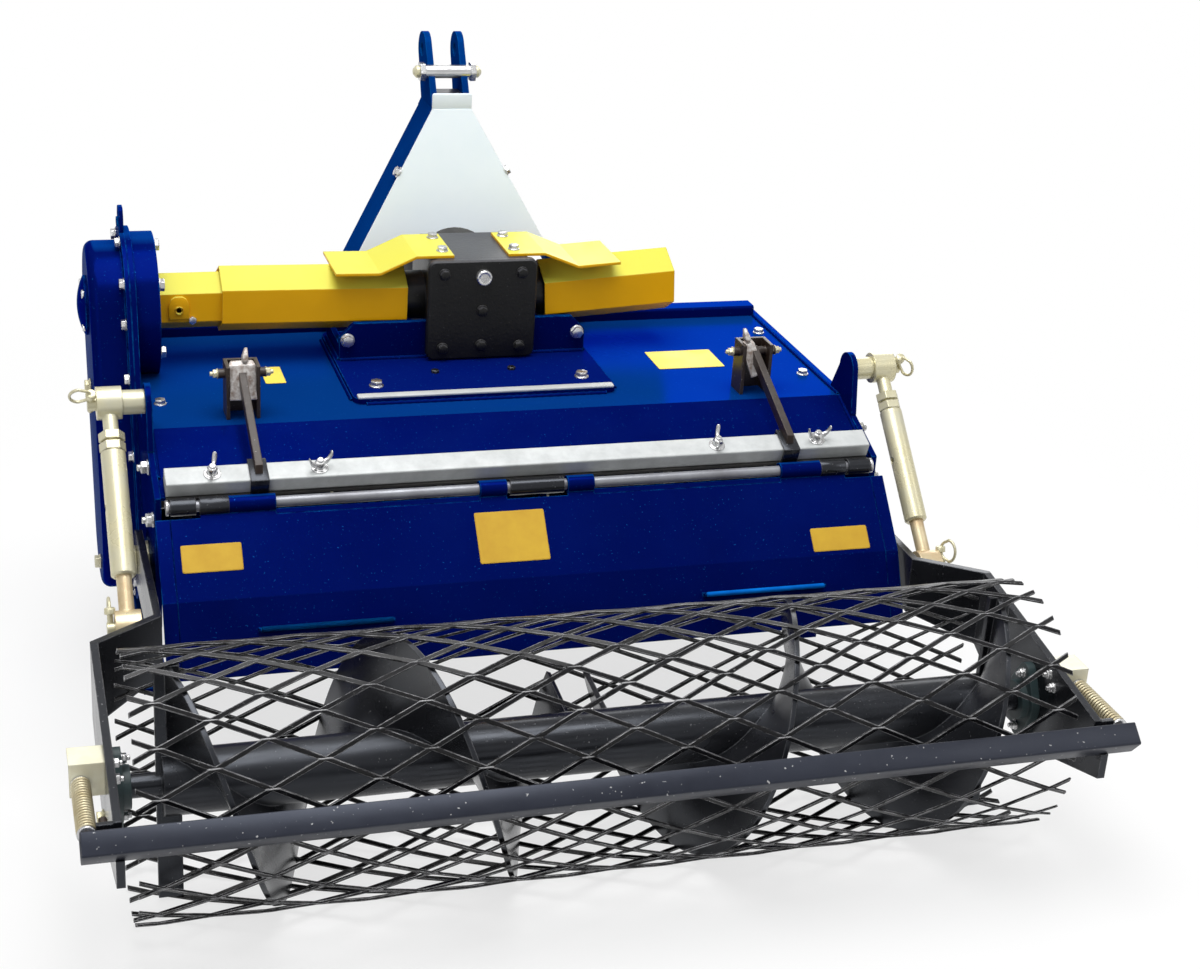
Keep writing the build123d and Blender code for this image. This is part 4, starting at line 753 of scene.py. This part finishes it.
def coilSpring():
    long = coil["frontY"] - coil["rearY"] - 2 * coil["wire"]
    ring = startWith("circle", "coil", vertices=8, radius=coil["wire"], rotation=(pi / 2, 0, 0),
                     location=(coil["radius"], 0, coil["wire"]))
    finishWith(ring, "SCREW", angle=2 * pi, steps=coil["steps"], render_steps=coil["steps"], axis="Z",
               iterations=coil["turns"], screw_offset=long / coil["turns"], use_merge_vertices=True)
    bpy.ops.object.mode_set(mode="EDIT")
    bpy.ops.mesh.select_mode(type="EDGE")
    bpy.ops.mesh.select_all(action="DESELECT")
    bpy.ops.mesh.select_non_manifold()
    bpy.ops.mesh.edge_face_add()
    bpy.ops.mesh.select_all(action="SELECT")
    bpy.ops.mesh.normals_make_consistent(inside=False)
    leaveEdit()
    return ring


springModel = coilSpring()
springSpots = mirrored(coil["x"], [(coil["frontY"], coil["z"])], rear)
placeAll("scraper_springs", springModel, springSpots, "roller_frame", "spring", coil["smooth"])
washerYs = (coil["frontY"] - coil["washerY"], coil["rearY"] + coil["washerY"])
washerSpots = [(*spot, 0, coil["washerSize"])
               for spot in mirrored(coil["x"], [(y, coil["z"]) for y in washerYs], rear)]
placeAll("spring_washers", collarModel, washerSpots, "roller_frame", "steel")

# scraper bar: a square bar turned so that one face looks up to the rear, in place of the plain CAD bar
bar = {"half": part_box("scraper_bar")[1][0], "side": 0.036, "tilt": 40, "y": -0.728,
       "z": middleOf("scraper_bar").z, "edge": 0.0025, "wall": 0.004, "open": 0.006}


def tiltedBar():
    piece = startBox("scraper_bar_tilted", (2 * bar["half"], bar["side"], bar["side"]))
    pickFaces(piece, looksAside)
    bpy.ops.mesh.inset(thickness=bar["wall"], depth=-bar["open"], use_individual=True)
    leaveEdit()
    finishWith(piece, "BEVEL", width=bar["edge"], segments=3, limit_method="ANGLE")
    tilt = Matrix.Rotation(radians(bar["tilt"]), 4, "X")
    piece.data.transform(Matrix.Translation((0, bar["y"], bar["z"])) @ tilt)
    return settle(piece, "roller_frame", "slate")


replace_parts(tiltedBar(), "scraper_bar")

# roller cage: the same zigzag strips as the CAD cage, with finer strands that lean as drawn metal does
cage = {"strips": 36, "pitch": 0.150, "bond": 0.038, "half": 0.0038, "lean": 0.0011, "thick": 0.0038,
        "edge": 0.0005, "smooth": 30}
cageMiddle = middleOf("roller_cage")
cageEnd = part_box("roller_cage")[1]
cageRadius = cageEnd[2] - cageMiddle.z


def cageStrip(phase):
    # one strip in the plane that touches the drum on top, its bonds cut flat where the next strip joins
    border = cageRadius * tan(pi / cage["strips"])
    step = cage["pitch"] / 2
    crest = border + border / step * cage["bond"] / 2 - cage["half"]
    slope = 2 * crest / step
    cut = (crest + cage["half"] - border) / slope
    rows = ceil(cageEnd[0] / step)
    bends = [n * step + d for n in range(-rows, rows + 1) for d in (-cut, 0, cut)]
    stations = [-cageEnd[0], *(x for x in bends if abs(x) < cageEnd[0]), cageEnd[0]]
    strip = startWith("grid", "strip", x_subdivisions=len(stations) - 1, y_subdivisions=1, size=1)
    for n, vertex in enumerate(sorted(strip.data.vertices, key=lambda v: (round(v.co.x, 5), v.co.y))):
        x = stations[n // 2]
        bend = round(x / step)
        middle = (-1) ** (bend + phase) * (crest - slope * abs(x - bend * step))
        if n % 2:
            vertex.co = (x, min(middle + cage["half"], border), cageRadius)
        else:
            vertex.co = (x, max(middle - cage["half"], -border), cageRadius - 2 * cage["lean"])
    finishWith(strip, "SOLIDIFY", thickness=cage["thick"], offset=-1)
    finishWith(strip, "BEVEL", width=cage["edge"], segments=1, limit_method="ANGLE")
    return strip


stripModels = [cageStrip(0), cageStrip(1)]
strands = []
for n in range(cage["strips"]):
    strand = copyTo(stripModels[n % 2], (0, 0, 0))
    strand.data.transform(Matrix.Translation((0, cageMiddle.y, cageMiddle.z))
                          @ Matrix.Rotation(2 * pi * n / cage["strips"], 4, "X"))
    strands.append(strand)
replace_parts(settle(joinAll("roller_cage_strands", strands), "roller", "cage", cage["smooth"]), "roller_cage")
print("roller cage drawn")

# lynch pins with their rings; a ring's direction is given for the left and then the right
lynch = {"shank": 0.0045, "long": 0.044, "step": 0.001, "headSize": (1.9, 1, 1.9), "head": 0.010,
         "edge": 0.002, "ring": 0.0165, "wire": 0.0026, "ringAt": (0.0175, 0.026, 0),
         "stretch": (0.9, 1.12, 1), "inset": 0.0055, "upperUp": (0, -0.62, 0.78),
         "upperRings": (left, (0.35, -0.94, 0)),
         "lowerUp": (0, 0.30, 0.95), "lowerRings": ((0, 0.95, -0.30), (0.4, -0.9, 0.27)), "hitchInset": 0.012}


def lynchPin():
    # shank along y, the ring beside its head towards +x
    shank = startWith("cylinder", "shank", vertices=12, radius=lynch["shank"], depth=lynch["long"],
                      rotation=(pi / 2, 0, 0))
    pickFaces(shank, looksAhead)
    drawOut((0, lynch["step"], 0), lynch["headSize"])
    drawOut((0, lynch["head"], 0))
    roundEdges(lynch["edge"], 2)
    leaveEdit()
    ring = startWith("torus", "ring", major_radius=lynch["ring"], minor_radius=lynch["wire"],
                     major_segments=32, minor_segments=8, location=lynch["ringAt"])
    pickFaces(ring, lambda centre, normal: centre.x > lynch["ringAt"][0])
    bpy.ops.transform.resize(value=lynch["stretch"])
    leaveEdit()
    return joinAll("lynchPin", [shank, ring])


lynchModel = lynchPin()


def lynchPair(name, node, inset, rings, up, body, finish):
    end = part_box(node)[1][0] - inset
    pins = [layOn(copyTo(lynchModel, (0, 0, 0)), (side * end, *middleOf(node).yz), ring, up)
            for side, ring in zip(sides, rings)]
    settle(joinAll(name, pins), body, finish)


lynchPair("upper_lynch_pins", "turnbuckle_upper_pins", lynch["inset"], lynch["upperRings"], lynch["upperUp"],
          "frame", "zinc")
lynchPair("lower_lynch_pins", "turnbuckle_lower_pins", lynch["inset"], lynch["lowerRings"], lynch["lowerUp"],
          "roller_frame", "zinc")
lynchPair("hitch_lynch_pins", "lower_link_pins", lynch["hitchInset"], (front, front), top, "frame", "steel")
print("springs and pins placed")

# fittings of the gearbox and chain case that face the tractor and the left
drive = {"y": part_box("pto_shaft")[0][1], "z": middleOf("pto_shaft").z, "boltR": 0.060, "bolts": 6,
         "boltTurn": 0.5, "shieldR": 0.074, "mouthR": 0.088, "long": 0.118, "wall": 0.0035, "gap": 0.0005,
         "edge": 0.001}


def shaftShield():
    bell = startWith("cylinder", "shield", vertices=40, radius=drive["shieldR"], depth=drive["long"],
                     end_fill_type="NOTHING")
    bpy.ops.object.mode_set(mode="EDIT")
    bpy.ops.mesh.select_all(action="SELECT")
    bpy.ops.mesh.normals_make_consistent(inside=False)
    leaveEdit()
    for vertex in bell.data.vertices:
        if vertex.co.z > 0:
            vertex.co.x *= drive["mouthR"] / drive["shieldR"]
            vertex.co.y *= drive["mouthR"] / drive["shieldR"]
    finishWith(bell, "SOLIDIFY", thickness=drive["wall"], offset=-1)
    finishWith(bell, "BEVEL", width=drive["edge"], segments=2)
    return bell


shieldModel = shaftShield()
shieldAt = (0, drive["y"] + drive["long"] / 2 + drive["gap"], drive["z"])
placeAll("drive_shaft_shield", shieldModel, [(shieldAt, front)], "frame", "rubber")
frontSpots = []
for n in range(drive["bolts"]):
    x, z = circleSpot(0, drive["z"], drive["boltR"], 2 * pi * n / drive["bolts"] + drive["boltTurn"])
    frontSpots.append(((x, drive["y"], z), front))
boltGroup("gearbox_front_bolts", "m10", frontSpots, "frame", "cast")
boltGroup("case_plugs", "m12", [((case["plugX"], *spot), left) for spot in case["plugs"]], "frame", "zinc")
nipple = {"radius": 0.0050, "foot": 0.005, "shoulder": 0.0018, "neck": 0.004, "neckSize": (0.7, 0.7, 1),
          "ball": 0.002, "ballSize": (1.4, 1.4, 1), "edge": 0.0006, "x": 0.719, "z": 0.2295}


def greaseNipple():
    piece = startDisc("nipple", 6, nipple["radius"], nipple["foot"])
    pickFaces(piece, looksUp)
    bpy.ops.mesh.inset(thickness=nipple["shoulder"], depth=0.0)
    drawOut((0, 0, nipple["neck"]), nipple["neckSize"])
    drawOut((0, 0, nipple["ball"]), nipple["ballSize"])
    roundEdges(nipple["edge"], 1)
    leaveEdit()
    return piece


nippleModel = greaseNipple()
nippleSpots = mirrored(nipple["x"], [(hubY, nipple["z"])], top)
placeAll("bearing_nipples", nippleModel, nippleSpots, "roller_frame", "steel")
print("gearbox fittings placed")


# blank plates and trim
def thinPlate(name, wide, high, thick, corner):
    plate = startWith("plane", name, size=1)
    bpy.ops.transform.resize(value=(wide, high, 1))
    bpy.ops.object.transform_apply(location=False, rotation=False, scale=True)
    pickFaces(plate, lambda centre, normal: True)
    bpy.ops.mesh.select_mode(type="VERT")
    bpy.ops.mesh.bevel(offset=corner, segments=3, affect="VERTICES")
    leaveEdit()
    finishWith(plate, "SOLIDIFY", thickness=thick, offset=1)
    return plate


# the flap's outer face runs from the hinge to a crease and on to its foot
flapHinge = Vector((0, *hinge))
flapCrease = Vector((0, -0.192, 0.326))
flapFoot = Vector((0, -0.247, 0.218))
flapUp = (flapHinge - flapCrease).normalized()
flapOut = Vector(right).cross(flapUp)
footUp = (flapCrease - flapFoot).normalized()
footOut = Vector(right).cross(footUp)
plates = {"flap": ((-0.540, 0.070, 0.095, 0.046), (-0.053, 0.072, 0.118, 0.088),
                   (0.520, 0.028, 0.104, 0.042)),
          "deck": ((0.387, 0.302, 0.128, 0.092), (-0.377, 0.312, 0.036, 0.082)),
          "thick": 0.0006, "corner": 0.003, "lift": 0.0001}


def blankPlate(wide, high, at, up):
    return layOn(thinPlate("label", wide, high, plates["thick"], plates["corner"]), at, right, up)


stuck = []
for x, up, wide, high in plates["flap"]:
    at = flapCrease + flapUp * up + Vector((x, 0, 0)) + flapOut * plates["lift"]
    stuck.append(blankPlate(wide, high, at, flapUp))
settle(joinAll("flap_blank_plates", stuck), "flap", "decal")
hem = {"x": 0.265, "long": 0.336, "down": 0.0158, "wide": 0.0098, "thick": 0.005, "corner": 0.001}
hemAt = flapHinge - flapUp * hem["down"] - flapOut * hem["thick"]
hems = [layOn(thinPlate("hem", hem["long"], hem["wide"], hem["thick"], hem["corner"]),
              hemAt + Vector((side * hem["x"], 0, 0)), right, flapUp) for side in sides]
settle(joinAll("flap_hinge_hems", hems), "flap", "blue")

# strips that widen the flap to just inside the arms
sideStrip = {"x": 0.6105, "wide": 0.024, "thick": 0.005, "down": 0.020, "corner": 0.0008}
stripTop = flapHinge - flapUp * sideStrip["down"]
runs = ((flapCrease, stripTop, flapUp, flapOut), (flapFoot, flapCrease, footUp, footOut))
strips = []
for side in sides:
    for low, high, up, out in runs:
        long = (high - low).length
        strip = thinPlate("strip", sideStrip["wide"], long, sideStrip["thick"], sideStrip["corner"])
        at = (low + high) / 2 - out * sideStrip["thick"] + Vector((side * sideStrip["x"], 0, 0))
        strips.append(layOn(strip, at, right, up))
settle(joinAll("flap_side_strips", strips), "flap", "blue")

# rounded bars on the flap's lips
lip = {"x": 0.370, "long": 0.212, "radius": 0.0042, "edge": 0.00252, "up": 0.0705, "out": 0.0125}
lipAt = flapFoot + footUp * lip["up"] + footOut * lip["out"]
lipBars = []
for side in sides:
    lipBar = startWith("cylinder", "lipBar", vertices=16, radius=lip["radius"], depth=lip["long"],
                       rotation=(0, pi / 2, 0))
    chamfer(lipBar, looksAside, lip["edge"], 3)
    lipBar.data.transform(Matrix.Translation(lipAt + Vector((side * lip["x"], 0, 0))))
    lipBars.append(lipBar)
settle(joinAll("flap_lip_bars", lipBars), "flap", "sky")

# plates and edge strip on the deck
plateZ = deckTop + plates["lift"]
stuck = [blankPlate(wide, high, (x, y, plateZ), front) for x, y, wide, high in plates["deck"]]
settle(joinAll("deck_blank_plates", stuck), "frame", "decal")
trim = {"size": (0.458, 0.018, 0.004), "corner": 0.003, "y": 0.160, "edge": 0.0008}
edgeStrip = layOn(thinPlate("base_edge_strip", *trim["size"], trim["corner"]),
                  (baseX, trim["y"], baseTop + plates["lift"]), right, front)
finishWith(edgeStrip, "BEVEL", width=trim["edge"], segments=2)
settle(edgeStrip, "frame", "galvanised")
print("blank plates laid")

# weld beads: start, end and radius on the right, then mirrored; points with True are on the base plate
weld = {"ripple": 0.006, "crown": 0.86, "wave": 0.14, "smooth": 60, "pairs": (
    ((0.6085, 0.528, 0.5055, False), (0.6085, 0.092, 0.5055, False), 0.004),
    ((0.6085, 0.088, 0.5045, False), (0.6085, -0.020, 0.4635, False), 0.004),
    ((0.2665, 0.532, 0.5255, False), (0.2665, 0.568, 0.5255, False), 0.005),
    ((0.094, 0.3445, 0.5165, False), (0.226, 0.3445, 0.5165, True), 0.004),
    ((0.2285, 0.348, 0.5165, True), (0.2285, 0.473, 0.5165, True), 0.004),
    ((0.2365, 0.172, 0.506, True), (0.2365, 0.480, 0.506, True), 0.0045),
    ((0.331, 0.570, 0.512, False), (0.331, 0.570, 0.414, False), 0.004),
), "rear": (0.215, 0.1505, 0.506, True), "rearRadius": 0.0045}


def weldPoint(side, x, y, z, onBase):
    return Vector((side * x + (baseX if onBase else 0), y, z))


def weldBead(start, end, radius):
    run = end - start
    ripples = max(4, ceil(run.length / weld["ripple"]))
    bead = startWith("cylinder", "bead", vertices=8, radius=radius, depth=run.length)
    clearMesh(bead.data)
    bpy.context.tool_settings.mesh_select_mode = (False, True, False)
    for edge in bead.data.edges:
        a, b = (bead.data.vertices[v].co for v in edge.vertices)
        edge.select = abs(a.z - b.z) > run.length / 2
    bpy.ops.object.mode_set(mode="EDIT")
    bpy.ops.mesh.subdivide(number_cuts=2 * ripples - 1)
    leaveEdit()
    for vertex in bead.data.vertices:
        swell = weld["crown"] + weld["wave"] * cos(vertex.co.z / run.length * ripples * 2 * pi)
        vertex.co.x *= swell
        vertex.co.y *= swell
    spin = run.to_track_quat("Z", "Y").to_matrix().to_4x4()
    bead.data.transform(Matrix.Translation((start + end) / 2) @ spin)
    return bead


beads = [weldBead(weldPoint(side, *start), weldPoint(side, *end), radius)
         for side in sides for start, end, radius in weld["pairs"]]
beads.append(weldBead(weldPoint(-1, *weld["rear"]), weldPoint(1, *weld["rear"]), weld["rearRadius"]))
settle(joinAll("frame_welds", beads), "frame", "weld", weld["smooth"])
print("welds run")

for model in (*bolt.values(), wingModel, clipModel, springModel, lynchModel, collarModel, sleeveModel,
              shieldModel, nippleModel, tipModel, *stripModels):
    bpy.data.objects.remove(model)

# camera
camera = {"at": (-0.885, -3.102, 1.801), "target": (0.136, -0.009, 0.401), "roll": 3.911, "lens": 61.97,
          "sensor": 36}
eye = bpy.data.objects.new("camera", bpy.data.cameras.new("camera"))
bpy.context.collection.objects.link(eye)
eye.location = camera["at"]
gaze = Vector(camera["target"]) - Vector(camera["at"])
roll = Matrix.Rotation(radians(camera["roll"]), 3, "Z").to_quaternion()
eye.rotation_mode = "QUATERNION"
eye.rotation_quaternion = gaze.to_track_quat("-Z", "Y") @ roll
eye.data.lens = camera["lens"]
eye.data.sensor_width = camera["sensor"]
bpy.context.scene.camera = eye

# floor, lamps and sky: the floor glows to white away from the machine; a lamp is x, y, z, size and power
studio = {"floor": 60.0, "floorColour": (0.88, 0.88, 0.88), "floorRough": 0.95, "near": 1.0, "far": 2.4,
          "lift": 0.72, "world": 0.24, "shine": 0.6, "aim": (0, 0, 0.4),
          "lamps": ((-0.3, -0.2, 4.0, 3.0, 170), (-2.8, -3.0, 2.4, 1.8, 22), (2.8, -1.6, 2.4, 1.6, 14),
                    (2.1, 3.8, 2.0, 2.6, 60))}


def seenWhite(wire, shine):
    reflected = shine * wire.node("LightPath", out="Is Glossy Ray")
    return wire.sum("MAXIMUM", wire.node("LightPath", out="Is Camera Ray"), reflected)


floor = startWith("plane", "floor", size=studio["floor"], location=(0, 0, 0))
white = bpy.data.materials.new("studio_floor")
white.use_nodes = True
shade = white.node_tree.nodes["Principled BSDF"]
shade.inputs["Base Color"].default_value = (*studio["floorColour"], 1)
shade.inputs["Roughness"].default_value = studio["floorRough"]
wire = Wire(white.node_tree)
away = wire.vector("LENGTH", wire.node("TexCoord", out="Object"))
away = wire.node("MapRange", {"interpolation_type": "SMOOTHSTEP"},
                 {"Value": away, "From Min": studio["near"], "From Max": studio["far"]}, out="Result")
glow = wire.node("Emission", {}, {"Color": (1, 1, 1, 1), "Strength": 1.0})
share = seenWhite(wire, 1) * (studio["lift"] + (1 - studio["lift"]) * away)
floorMix = wire.node("MixShader", {}, {0: share, 1: Wire(wire.tree, shade.outputs[0]), 2: glow})
wire.tree.links.new(floorMix.socket, white.node_tree.nodes["Material Output"].inputs["Surface"])
floor.data.materials.append(white)
for n, (*place, size, power) in enumerate(studio["lamps"]):
    lamp = bpy.data.objects.new(f"lamp{n}", bpy.data.lights.new(f"lamp{n}", "AREA"))
    bpy.context.collection.objects.link(lamp)
    lamp.location = place
    lamp.rotation_euler = (Vector(studio["aim"]) - Vector(place)).to_track_quat("-Z", "Y").to_euler()
    lamp.data.size = size
    lamp.data.energy = power
sky = bpy.data.worlds.new("studio")
bpy.context.scene.world = sky
sky.use_nodes = True
wire = Wire(sky.node_tree)
ground = sky.node_tree.nodes["Background"]
ground.inputs["Color"].default_value = (1, 1, 1, 1)
level = studio["world"] + (1 - studio["world"]) * seenWhite(wire, studio["shine"])
sky.node_tree.links.new(level.socket, ground.inputs["Strength"])
print("studio lit")
